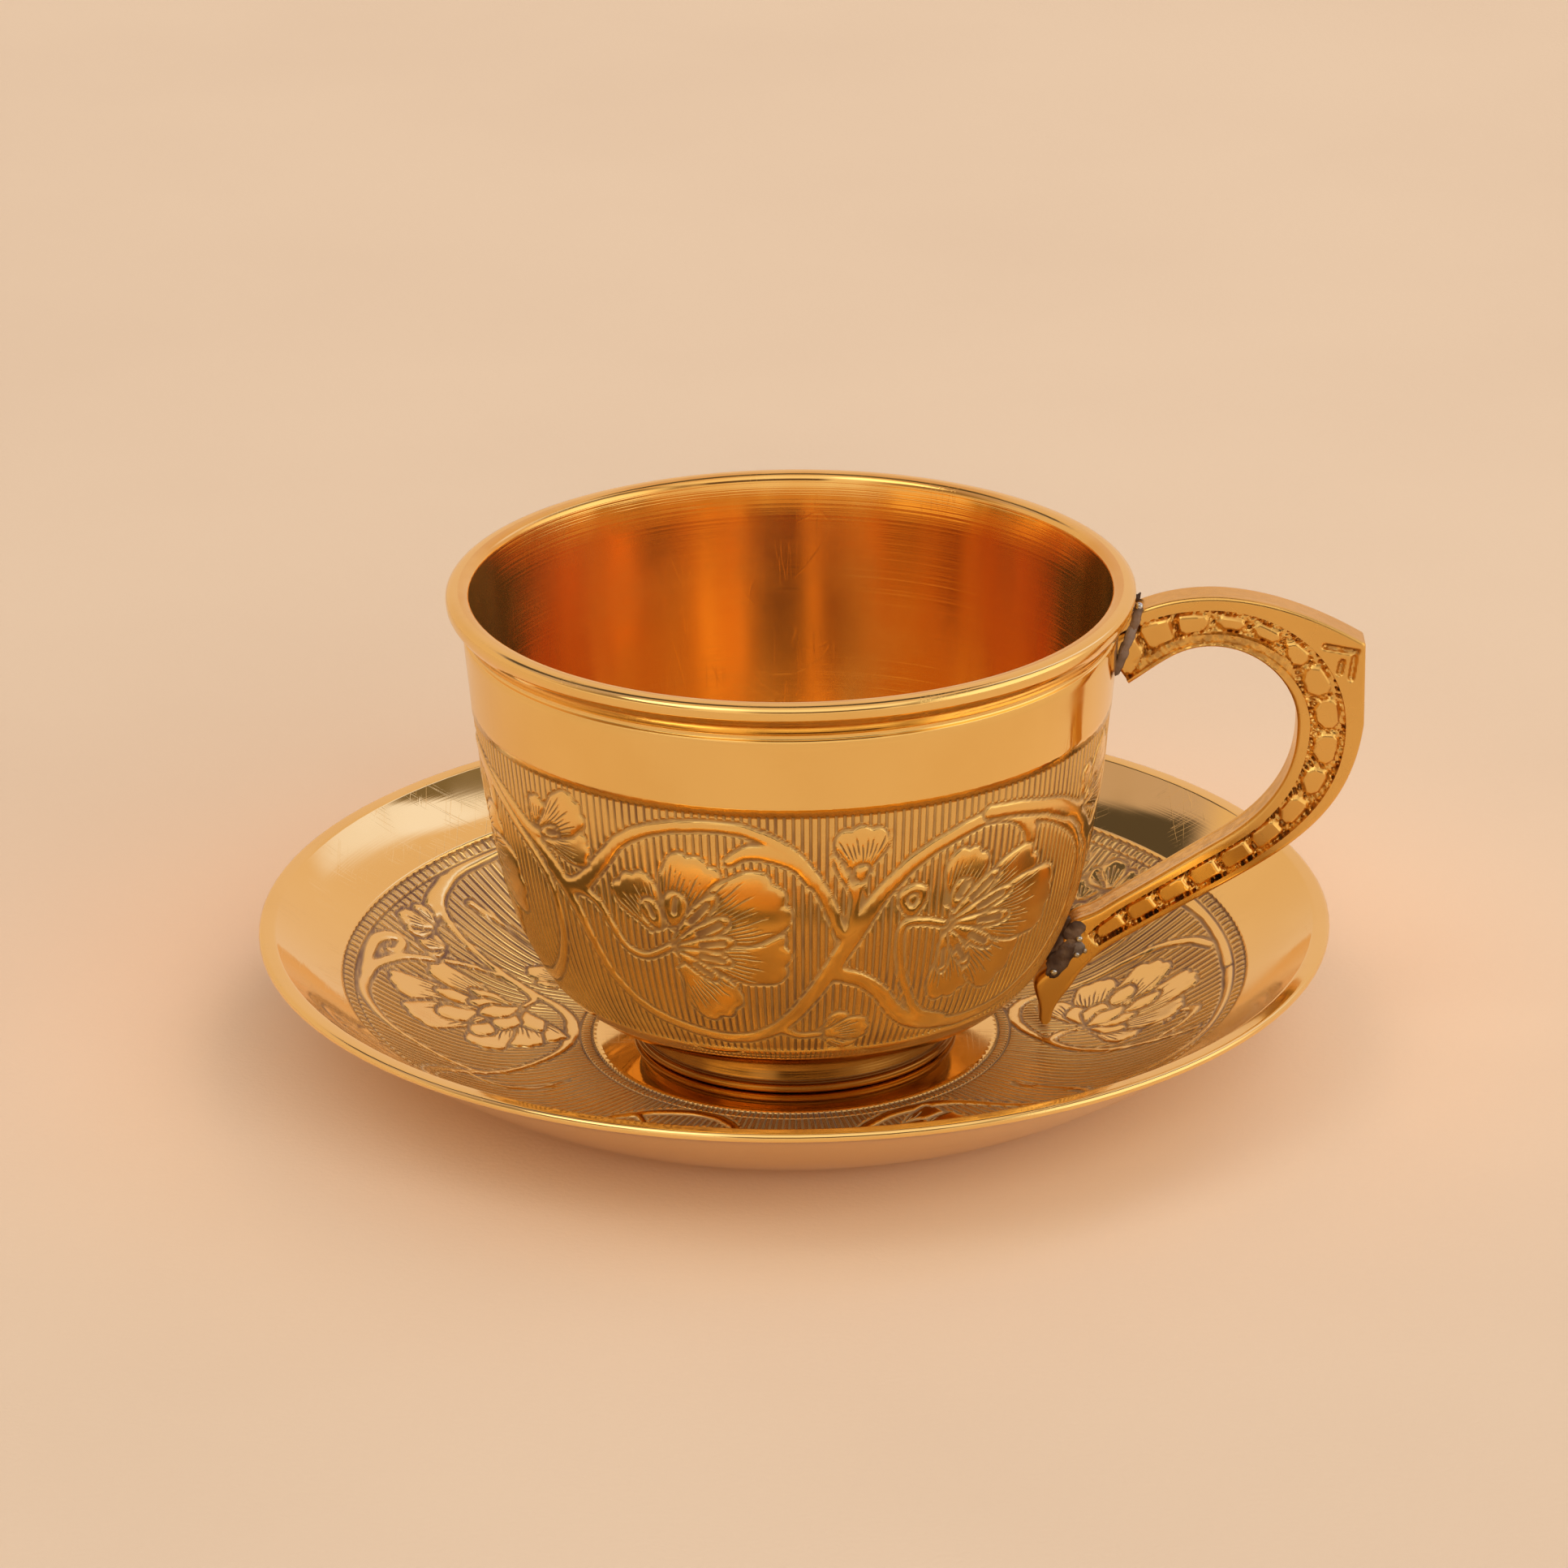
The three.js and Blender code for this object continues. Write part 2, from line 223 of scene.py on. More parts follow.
@dataclass
class Run:
    """Rows of a turned surface that have the same columns.

    Attributes:
        rows: radius and height of each row, in mm.
        columns: angles round the axis, from 0, in radians.
        lift: shift along the outward normal at each row and column, in mm.
        values: numbers at each row and column, by name.
    """

    rows: Array
    columns: Array
    lift: Array | float = 0.0
    values: dict[str, Array] = field(default_factory=dict)

    def points(self) -> Array:
        """Sweeps each row round the axis and shifts it by its lift.

        Returns:
            Points by row and column.
        """
        normal = right_normals(self.rows) if len(self.rows) > 1 else np.zeros((1, 2))
        lift = np.broadcast_to(self.lift, (len(self.rows), len(self.columns)))
        radius = self.rows[:, :1] + normal[:, :1] * lift
        height = self.rows[:, 1:] + normal[:, 1:] * lift
        return np.stack([radius * np.sin(self.columns), -radius * np.cos(self.columns), height], axis=-1)


def even_columns(count: int) -> Array:
    """Angles of evenly spaced columns."""
    return np.arange(count) * TURN / count


def stitched(low: Array, high: Array, low_v: float, high_v: float) -> tuple[Array, Array]:
    """Faces between two rings of points whose counts are equal, or one a multiple of the other.

    Args:
        low: point numbers of the ring that comes first along the profile.
        high: point numbers of the next ring.
        low_v: map height of the first ring.
        high_v: map height of the next ring.

    Returns:
        Faces, with one face for each column of the coarser ring, and their map places.
    """
    count = min(len(low), len(high))
    below, above = len(low) // count, len(high) // count
    column = np.arange(count)[:, None]
    under = column * below + np.arange(below + 1)
    over = column * above + np.arange(above, -1, -1)
    faces = np.hstack([low[under % len(low)], high[over % len(high)]])
    across = np.hstack([under / len(low), over / len(high)])
    up = np.hstack([np.full(under.shape, low_v), np.full(over.shape, high_v)])
    return faces, np.stack([across, up], axis=-1)


def turned(runs: list[Run], plain: dict[str, float], bottom: float | None = None,
           top: float | None = None) -> Surface:
    """Closed surface of revolution: rows of a profile swept round the axis.

    The profile travels so that its outside is on the right. It either closes on itself, or starts
    and ends on the axis, where a fan of triangles closes it.

    Args:
        runs: the profile's runs, in order.
        plain: names of the values with what they are where a run doesn't say.
        bottom: height of the first pole, or None for a ring.
        top: height of the last pole, or None for a ring.

    Returns:
        The surface, with the length along the profile as the value "run".
    """
    profile = np.vstack([run.rows for run in runs])
    if bottom is None:
        profile = np.vstack([profile, profile[:1]])
    length = travelled(profile)
    reach = 0.02 + 0.96 * length / length[-1]
    points, rings, start = [], [], 0
    values: dict[str, list[Array]] = {name: [] for name in (*plain, "run")}
    row = 0
    for run in runs:
        shape = (len(run.rows), len(run.columns))
        points.append(run.points().reshape(-1, 3))
        rings += list(start + np.arange(shape[0] * shape[1]).reshape(shape))
        start += shape[0] * shape[1]
        for name, level in plain.items():
            values[name].append(np.broadcast_to(run.values.get(name, level), shape).ravel())
        values["run"].append(np.repeat(length[row:row + shape[0]], shape[1]))
        row += shape[0]
    pairs = [stitched(rings[i], rings[i + 1], reach[i], reach[i + 1]) for i in range(len(rings) - 1)]
    if bottom is None:
        pairs.append(stitched(rings[-1], rings[0], reach[-2], reach[-1]))
    else:
        for ring, height, edge in ((rings[0], bottom, 0.0), (rings[-1], top, 1.0)):
            points.append(np.array([[0.0, 0.0, height]]))
            for name, level in (*plain.items(), ("run", edge * length[-1])):
                values[name].append(np.array([level]))
            pairs.append(fan(ring, start, abs(edge - 0.02), edge))
            start += 1
    return Surface(np.vstack(points), [faces for faces, _ in pairs], [chart for _, chart in pairs],
                   {name: np.concatenate(parts) for name, parts in values.items()})


def fan(ring: Array, pole: int, ring_v: float, pole_v: float) -> tuple[Array, Array]:
    """Triangles from a ring to a pole.

    Args:
        ring: point numbers of the ring.
        pole: point number of the pole.
        ring_v: map height of the ring.
        pole_v: map height of the pole, 0 where it comes before the ring.

    Returns:
        Faces that look outwards, and their map places.
    """
    count = len(ring)
    here = np.arange(count)
    after = here + 1
    first, second = (after, here) if pole_v < ring_v else (here, after)
    faces = np.stack([ring[first % count], ring[second % count], np.full(count, pole)], axis=1)
    across = np.stack([first, second, here + 0.5], axis=1) / count
    up = np.tile([ring_v, ring_v, pole_v], (count, 1))
    return faces, np.stack([across, up], axis=-1)


def tube(grid: Array, values: dict[str, Array], chart_box: Quad) -> Surface:
    """Closed tube: rows of closed loops, stitched in turn, with a face across each end.

    Args:
        grid: points by row and by place round the loop, which runs left-handed about the travel.
        values: numbers at each point, by name.
        chart_box: lowest and highest place of its map, as u, v, u, v.

    Returns:
        The surface.
    """
    rows, around = grid.shape[:2]
    number = np.arange(rows * around).reshape(rows, around)
    row = np.arange(rows - 1)[:, None]
    place = np.arange(around)[None, :]
    down, along = row[..., None] + [0, 0, 1, 1], place[..., None] + [0, 1, 1, 0]
    faces = number[down, along % around].reshape(-1, 4)
    low_u, low_v, high_u, high_v = chart_box
    u = low_u + (high_u - low_u) * (0.04 + 0.92 * down / (rows - 1))
    v = low_v + (high_v - low_v) * along / around
    chart = np.stack(np.broadcast_arrays(u, v), axis=-1).reshape(-1, 4, 2)
    turn = even_columns(around)
    disc = 0.018 * np.stack([np.cos(turn), np.sin(turn)], axis=-1)
    middle_v = (low_v + high_v) / 2.0
    caps = [number[:1, ::-1], number[-1:]]
    ends = [disc[None, ::-1] + (low_u + 0.02, middle_v), disc[None] + (high_u - 0.02, middle_v)]
    return Surface(grid.reshape(-1, 3), [faces, *caps], [chart, *ends],
                   {name: np.broadcast_to(value, (rows, around)).ravel() for name, value in values.items()})


def make_piece(name: str, surface: Surface, material: Material,
               crease: float | None = None) -> bpy.types.Object:
    """Turns a surface into an object at the origin.

    Args:
        name: the piece's name.
        surface: what to make.
        material: its finish.
        crease: edges that bend by more degrees than this stay sharp, or None for none.

    Returns:
        The object, linked to the scene.
    """
    mesh = bpy.data.meshes.new(name)
    corners = np.concatenate([face.ravel() for face in surface.faces]).astype(np.int32)
    sizes = np.concatenate([np.full(len(face), face.shape[1]) for face in surface.faces])
    starts = np.concatenate([[0], np.cumsum(sizes)[:-1]]).astype(np.int32)
    places = np.concatenate([chart.reshape(-1, 2) for chart in surface.chart]).astype(np.float32)
    mesh.vertices.add(len(surface.points))
    mesh.vertices.foreach_set("co", (surface.points * MM).astype(np.float32).ravel())
    mesh.loops.add(len(corners))
    mesh.loops.foreach_set("vertex_index", corners)
    mesh.polygons.add(len(sizes))
    mesh.polygons.foreach_set("loop_start", starts)
    mesh.polygons.foreach_set("use_smooth", np.ones(len(sizes), bool))
    mesh.update(calc_edges=True)
    for layer in (BAKE_MAP, WRAP_MAP):
        mesh.uv_layers.new(name=layer).data.foreach_set("uv", places.ravel())
    for key, value in surface.values.items():
        mesh.attributes.new(key, "FLOAT", "POINT").data.foreach_set("value", value.astype(np.float32))
    mesh.validate()
    if crease is not None:
        mesh.set_sharp_from_angle(angle=math.radians(crease))
    mesh.materials.append(material)
    piece = bpy.data.objects.new(name, mesh)
    bpy.context.scene.collection.objects.link(piece)
    return piece


def seat(piece: bpy.types.Object, body: Body, node: str) -> None:
    """Rides a piece on its body, hides the solid that it stands for, and logs it.

    Args:
        piece: the piece.
        body: what carries it.
        node: the solid.
    """
    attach(piece, body.value)
    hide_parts(node)
    log.info("%s: %d points, %d faces", piece.name, len(piece.data.vertices), len(piece.data.polygons))


# Chasing: motifs on a plane whose x is degrees round the axis and whose y is mm up the ornament


@dataclass(frozen=True)
class Plane:
    """Where a motif is measured: places round the axis and up the ornament in mm, and mm to a degree."""

    x: Array
    y: Array
    degree: float


@dataclass
class Cut:
    """One motif measured on a grid.

    Attributes:
        edge: distance to the motif's outline in mm, negative inside it.
        swell: height over the ground in mm.
        line: distance to the nearest cut line of the motif in mm, from inside it.
        comb: number of short cuts counted across the motif.
        depth: how deep the short cuts are, from 0 to 1.
    """

    edge: Array
    swell: Array
    line: Array
    comb: Array | float = 0.0
    depth: Array | float = 0.0


@dataclass(frozen=True)
class Stroke:
    """A smooth curve through points, with a width that passes through evenly spaced widths."""

    points: Points
    widths: tuple[float, ...]

    def edge(self, plane: Plane) -> Array:
        """Distance to the nearest straight piece of the curve, less half the width there.

        Args:
            plane: where to measure it.

        Returns:
            The distance to the stroke's outline, negative inside it.
        """
        x, y = plane.x, plane.y
        path = spline(self.points, STROKE_STEPS) * (plane.degree, 1.0)
        share = np.linspace(0.0, 1.0, len(path))
        half = 0.5 * np.interp(share, np.linspace(0.0, 1.0, len(self.widths)), self.widths)
        edge = np.full(x.shape, np.inf)
        for start, end, thick, thin in zip(path[:-1], path[1:], half[:-1], half[1:]):
            step = end - start
            share = ((x - start[0]) * step[0] + (y - start[1]) * step[1]) / (step @ step)
            share = np.clip(share, 0.0, 1.0)
            gap = np.hypot(x - start[0] - share * step[0], y - start[1] - share * step[1])
            edge = np.minimum(edge, gap - thick - share * (thin - thick))
        return edge


@dataclass(frozen=True)
class Vine:
    """Strokes that grow out of one another, with a small web where two meet."""

    strokes: tuple[Stroke, ...]
    puff: float = 0.11
    web: float = 0.7

    def span(self) -> Pair:
        """Lowest and highest angle, in degrees."""
        angles = [point[0] for stroke in self.strokes for point in stroke.points]
        return min(angles), max(angles)

    def measure(self, plane: Plane) -> Cut:
        """Smooth least of the strokes' distances, which dips by a quarter of the web where two are equal.

        Args:
            plane: where to measure it.

        Returns:
            The vine on the grid, rounded across.
        """
        edge = self.strokes[0].edge(plane)
        for stroke in self.strokes[1:]:
            other = stroke.edge(plane)
            share = np.clip(0.5 + 0.5 * (other - edge) / self.web, 0.0, 1.0)
            edge = other + (edge - other) * share - self.web * share * (1.0 - share)
        return Cut(edge, self.puff * (1.0 - np.exp(np.minimum(edge, 0.0) / 0.45)), -edge)


@dataclass(frozen=True)
class Sprig:
    """What petals and leaves have in common: a root in degrees and mm, a heading and their reach in mm."""

    root: Pair
    heading: float
    start: float
    end: float
    half: float

    def span(self) -> Pair:
        """Lowest and highest angle, in degrees, with room for the whole motif."""
        return self.root[0] - 1.6 * abs(self.end), self.root[0] + 1.6 * abs(self.end)

    def turned(self, plane: Plane) -> tuple[Array, Array, Array]:
        """Turns places to the heading, about the root.

        Args:
            plane: where to measure it.

        Returns:
            Places along and across the heading in mm, and the share of the way from start to end.
        """
        turn = math.radians(self.heading)
        right = plane.x - self.root[0] * plane.degree
        up = plane.y - self.root[1]
        along = right * math.cos(turn) + up * math.sin(turn)
        across = up * math.cos(turn) - right * math.sin(turn)
        return along, across, np.clip((along - self.start) / (self.end - self.start), 0.0, 1.0)


@dataclass(frozen=True)
class Petal(Sprig):
    """A fan that widens from its root to a scalloped end, with short cuts that fan inside its rim."""

    lobes: int = 3
    scallop: float = 0.55
    bow: float = 0.32
    pitch: float = 0.62
    puff: float = 0.14

    def measure(self, plane: Plane) -> Cut:
        """Smooth greatest of the distances past the sides and past the end.

        The end is a bowed line less the scallop times one minus |cos| of the place across it.

        Args:
            plane: where to measure it.

        Returns:
            The petal on the grid.
        """
        along, across, share = self.turned(plane)
        side = np.abs(across) - self.half * (0.36 + 0.64 * smooth(0.0, 0.62, share))
        spot = across / self.half
        wave = 1.0 - np.abs(np.cos(0.5 * math.pi * self.lobes * spot))
        front = along - self.end + self.bow * self.half * spot**2 + self.scallop * wave
        edge = 0.5 * (side + front + np.hypot(side - front, 0.8))
        edge = np.maximum(edge, self.start - along)
        rise = 1.0 - np.exp(np.minimum(edge, 0.0) / 0.4)
        comb = np.arctan2(across, np.maximum(along, 0.1)) * 0.72 * self.end / self.pitch
        ragged = 0.09 * np.sin(2.4 * np.floor(comb + 0.5) + self.heading)
        place = share + ragged
        depth = smooth(0.28, 0.38, place) * smooth(0.7, 0.54, place) * smooth(-0.3, -0.6, edge)
        return Cut(edge, self.puff * rise * (0.3 + 0.7 * share), -edge, comb, depth)


@dataclass(frozen=True)
class Leaf(Sprig):
    """A ray, scale or bead with a slit down its middle: an egg at power 2, more pointed below that."""

    slit: float = 0.0
    power: float = 2.0
    puff: float = 0.17

    def measure(self, plane: Plane) -> Cut:
        """Distance (k - 1) / |slope of k|, where k is the length by the leaf's power, in half axes.

        Args:
            plane: where to measure it.

        Returns:
            The leaf on the grid.
        """
        along, across, share = self.turned(plane)
        reach = 0.5 * (self.end - self.start)
        wide = self.half * (0.62 + 0.56 * share)
        forward = along - self.start - reach
        ahead, aside = np.abs(forward / reach), np.abs(across / wide)
        size = (ahead**self.power + aside**self.power)**(1.0 / self.power) + 1e-6
        bend = self.power - 1.0
        slope = np.hypot((ahead / size)**bend / reach, (aside / size)**bend / wide) + 1e-6
        edge = (size - 1.0) / slope
        swell = self.puff * (1.0 - np.exp(np.minimum(edge, 0.0) / 0.5)) * (0.6 + 0.5 * share)
        line = -edge
        if self.slit > 0.0:
            beyond = np.maximum(np.abs(forward - 0.25 * reach) - 0.38 * reach, 0.0)
            line = np.minimum(line, np.maximum(np.hypot(across, beyond) - self.slit, 0.0))
        return Cut(edge, swell, line)


Motif = Vine | Petal | Leaf


@dataclass(frozen=True)
class Bloom:
    """A flower or bud: petals that fan from one root, with narrow rays or scales over them.

    Attributes:
        root: angle in degrees and height in mm.
        petals: heading in degrees, length and half width in mm of each outer petal.
        leaves: heading, start, length and half width of each ray or scale, and its slit if it has one.
        inset: where the petals start, in mm from the root.
        power: how round the rays or scales are.
    """

    root: Pair
    petals: tuple[Triple, ...]
    leaves: tuple[tuple[float, ...], ...] = ()
    inset: float = 1.0
    power: float = 2.0

    def motifs(self) -> list[Motif]:
        """Petals, then rays or scales.

        Returns:
            Motifs in the order that they are painted, each over the one before.
        """
        outer = [Petal(self.root, heading, self.inset, end, half, 3 if half > 2.2 else 2, 0.14 * half)
                 for heading, end, half in self.petals]
        inner = [Leaf(self.root, heading, start, end, half, *(slit or (0.0,)), self.power)
                 for heading, start, end, half, *slit in self.leaves]
        return outer + inner


class Chasing:
    """Chased ornament on a grid of columns round the axis and rows along the profile.

    Motifs are painted one over another. Each keeps its own outline, and hides what lies under it.
    """

    def __init__(self, columns: Array, heights: Array, radius: float) -> None:
        """Starts with bare ground.

        Args:
            columns: angles of the columns, in radians.
            heights: heights of the rows on the ornament, in mm.
            radius: radius at which a degree has its true length, in mm.
        """
        self.degrees = np.degrees(columns)
        self.heights = heights
        self.degree = math.radians(radius)
        shape = (len(heights), len(columns))
        self.ground = np.full(shape, FAR)
        self.outline = np.full(shape, FAR)
        self.swell = np.zeros(shape)
        self.comb = np.zeros(shape)
        self.depth = np.zeros(shape)
        place = np.stack(np.broadcast_arrays(
            radius * np.sin(columns)[None], radius * np.cos(columns)[None], heights[:, None]), axis=-1)
        self.sway = 0.16 * ripple(11, place, 14.0)
        self.rise = 0.16 * ripple(12, place, 14.0)

    def paint(self, motif: Motif, turn: float) -> None:
        """Paints a motif over what is there.

        Args:
            motif: what to paint.
            turn: degrees to turn it round the axis.
        """
        low, high = motif.span()
        middle = 0.5 * (low + high)
        away = (self.degrees - middle - turn + 180.0) % 360.0 - 180.0
        kept = np.flatnonzero(np.abs(away) < 0.5 * (high - low) + 8.0)
        x = (away[kept] + middle)[None] * self.degree + self.sway[:, kept]
        y = self.heights[:, None] + self.rise[:, kept]
        cut = motif.measure(Plane(x, y, self.degree))
        inside = cut.edge < 0.0
        self.ground[:, kept] = np.minimum(self.ground[:, kept], cut.edge)
        near = np.minimum(self.outline[:, kept], cut.edge)
        self.outline[:, kept] = np.where(inside, cut.line, near)
        for layer, level in ((self.swell, cut.swell), (self.comb, cut.comb), (self.depth, cut.depth)):
            layer[:, kept] = np.where(inside, level, layer[:, kept])

    def rule(self, height: float) -> None:
        """Cuts a thin line all round at a height."""
        gap = 1.5 * np.abs(self.heights - height)[:, None]
        self.outline = np.minimum(self.outline, gap)

    def clear(self, low: float, high: float) -> None:
        """Leaves bare ground between two heights, so that only the ticks of the ground show there.

        Args:
            low: lower height, in mm.
            high: upper height, in mm.
        """
        inside = ((self.heights > low) & (self.heights < high))[:, None]
        edge = np.minimum(self.heights - low, high - self.heights)[:, None]
        self.ground = np.where(inside, edge, self.ground)
        self.outline = np.where(inside, FAR, self.outline)
        self.depth = np.where(inside, 0.0, self.depth)

    def lift(self, furrow: Array, ground_drop: float, line_drop: float, furrow_drop: float) -> Array:
        """Height of the chased surface over the plain one, which is never passed.

        Args:
            furrow: 1 on columns that lie in a furrow of the ground, and 0 on the ridges between.
            ground_drop: how far the ground lies below the plain surface, in mm.
            line_drop: depth of the outlines, in mm.
            furrow_drop: depth of the furrows, in mm.

        Returns:
            Shift along the normal in mm, which is 0 on the first and last rows.
        """
        line = smooth(0.42, 0.0, self.outline)
        bare = smooth(0.12, 0.5, self.ground)
        level = np.where(self.ground < 0.0, np.minimum(self.swell - ground_drop, 0.04), -ground_drop)
        shift = level - line_drop * line - furrow_drop * bare * furrow[None]
        shift[[0, -1]] = 0.0
        return shift

    def values(self) -> dict[str, Array]:
        """Numbers that the finish reads, with bare metal on the first and last rows.

        Returns:
            The numbers at each row and column, by name.
        """
        ground = np.clip(self.ground, -FAR, FAR)
        outline = np.clip(self.outline, 0.0, FAR)
        ground[[0, -1]] = -0.2
        outline[[0, -1]] = 0.5
        return {"ground": ground, "outline": outline, "comb": self.comb, "depth": self.depth,
                "rings": np.zeros_like(self.comb)}


PLAIN = {"ground": -FAR, "outline": FAR, "comb": 0.0, "depth": 0.0, "rings": 0.1, "satin_and_shade": 0.0}


def furrow_columns(lines: int, share: float, seed: int) -> tuple[Array, Array]:
    """Columns of a hatched ground: for each line one column in its furrow and two on its ridge.

    Args:
        lines: lines once round.
        share: half the furrow's width, as a share of the pitch.
        seed: picks the small unevenness of the lines.

    Returns:
        Angles of the columns, and 1 for each column in a furrow or 0 for one on a ridge.
    """
    draw = np.random.default_rng(seed)
    place = np.arange(lines) + draw.uniform(-0.07, 0.07, lines)
    place[0] = 0.0
    steps = np.diff(np.append(place, lines))
    columns = (place[:, None] + steps[:, None] * np.array([0.0, share, 1.0 - share])).ravel()
    depth = draw.uniform(0.75, 1.0, lines)
    furrow = (depth[:, None] * np.array([1.0, 0.0, 0.0])).ravel()
    return columns * TURN / lines, furrow


# Shader nodes


class Graph:
    """Short calls that make and link the nodes of one tree."""

    def __init__(self, tree: Tree) -> None:
        """Keeps the tree that the nodes go to."""
        self.tree = tree

    def node(self, kind: str, sockets: dict | None = None, **settings: object) -> Node:
        """Makes a node.

        Args:
            kind: the node's type.
            sockets: what each input takes, a value or another node's output, by name or number.
            **settings: the node's own properties.

        Returns:
            The node.
        """
        made = self.tree.nodes.new(kind)
        for name, value in settings.items():
            setattr(made, name, value)
        for key, value in (sockets or {}).items():
            if isinstance(value, Socket):
                self.tree.links.new(value, made.inputs[key])
            else:
                made.inputs[key].default_value = value
        return made

    def maths(self, operation: str, *values: Socket | float) -> Socket:
        """Output of a Math node."""
        return self.node("ShaderNodeMath", dict(enumerate(values)), operation=operation).outputs[0]

    def step(self, value: Socket, low: float, high: float, bottom: float = 0.0, top: float = 1.0) -> Socket:
        """Output of a smooth Map Range node, from bottom at low to top at high."""
        sockets = {"Value": value, "From Min": low, "From Max": high, "To Min": bottom, "To Max": top}
        return self.node("ShaderNodeMapRange", sockets, interpolation_type="SMOOTHSTEP").outputs[0]

    def attribute(self, name: str) -> Socket:
        """A number kept at each point of the piece."""
        return self.node("ShaderNodeAttribute", attribute_name=name).outputs["Fac"]

    def place(self) -> Socket:
        """The place on the piece, in metres."""
        return self.node("ShaderNodeTexCoord").outputs["Object"]

    def stretched(self, place: Socket, scale: Triple,
                  turn: Triple = (0.0, 0.0, 0.0)) -> Socket:
        """The place turned and scaled."""
        sockets = {"Vector": place, "Scale": scale, "Rotation": turn}
        return self.node("ShaderNodeMapping", sockets).outputs[0]

    def noise(self, place: Socket, scale: float, detail: float = 2.0) -> Socket:
        """Noise in space, about 0.5 on average."""
        sockets = {"Vector": place, "Scale": scale, "Detail": detail}
        return self.node("ShaderNodeTexNoise", sockets).outputs[0]

    def product(self, *factors: Socket | float) -> Socket:
        """Product of several values."""
        return reduce(partial(self.maths, "MULTIPLY"), factors)

    def band(self, value: Socket, low: float, start: float, end: float, high: float) -> Socket:
        """A smooth band: 1 from start to end, and 0 below low and above high."""
        return self.product(self.step(value, low, start), self.step(value, high, end))

    def mix(self, share: Socket | float, first: Socket | Colour, second: Socket | Colour) -> Socket:
        """Two colours mixed."""
        sockets = {0: share, 6: first, 7: second}
        return self.node("ShaderNodeMix", sockets, data_type="RGBA").outputs[2]

    def group(self, tree: Tree, sockets: dict) -> Node:
        """A group placed in this tree."""
        return self.node("ShaderNodeGroup", sockets, node_tree=tree)

    def link(self, value: Socket, node: Node, name: str) -> None:
        """Links a value to a node's input."""
        self.tree.links.new(value, node.inputs[name])


class Effect:
    """A shader node group with named inputs and outputs."""

    kinds = {"Vector": "Vector", "Bright": "Color", "Dull": "Color", "Dark": "Color", "Colour": "Color"}

    def __init__(self, name: str, inputs: tuple[str, ...], outputs: tuple[str, ...]) -> None:
        """Makes the group's sockets, which take numbers where kinds doesn't say.

        Args:
            name: the group's name.
            inputs: names of the inputs.
            outputs: names of the outputs.
        """
        self.tree = bpy.data.node_groups.new(name, "ShaderNodeTree")
        for way, names in (("INPUT", inputs), ("OUTPUT", outputs)):
            for key in names:
                kind = "NodeSocket" + self.kinds.get(key, "Float")
                self.tree.interface.new_socket(name=key, in_out=way, socket_type=kind)
        self.graph = Graph(self.tree)
        self.source = self.tree.nodes.new("NodeGroupInput").outputs
        self.sink = self.tree.nodes.new("NodeGroupOutput").inputs

    def give(self, name: str, value: Socket) -> None:
        """Links a value to an output."""
        self.tree.links.new(value, self.sink[name])


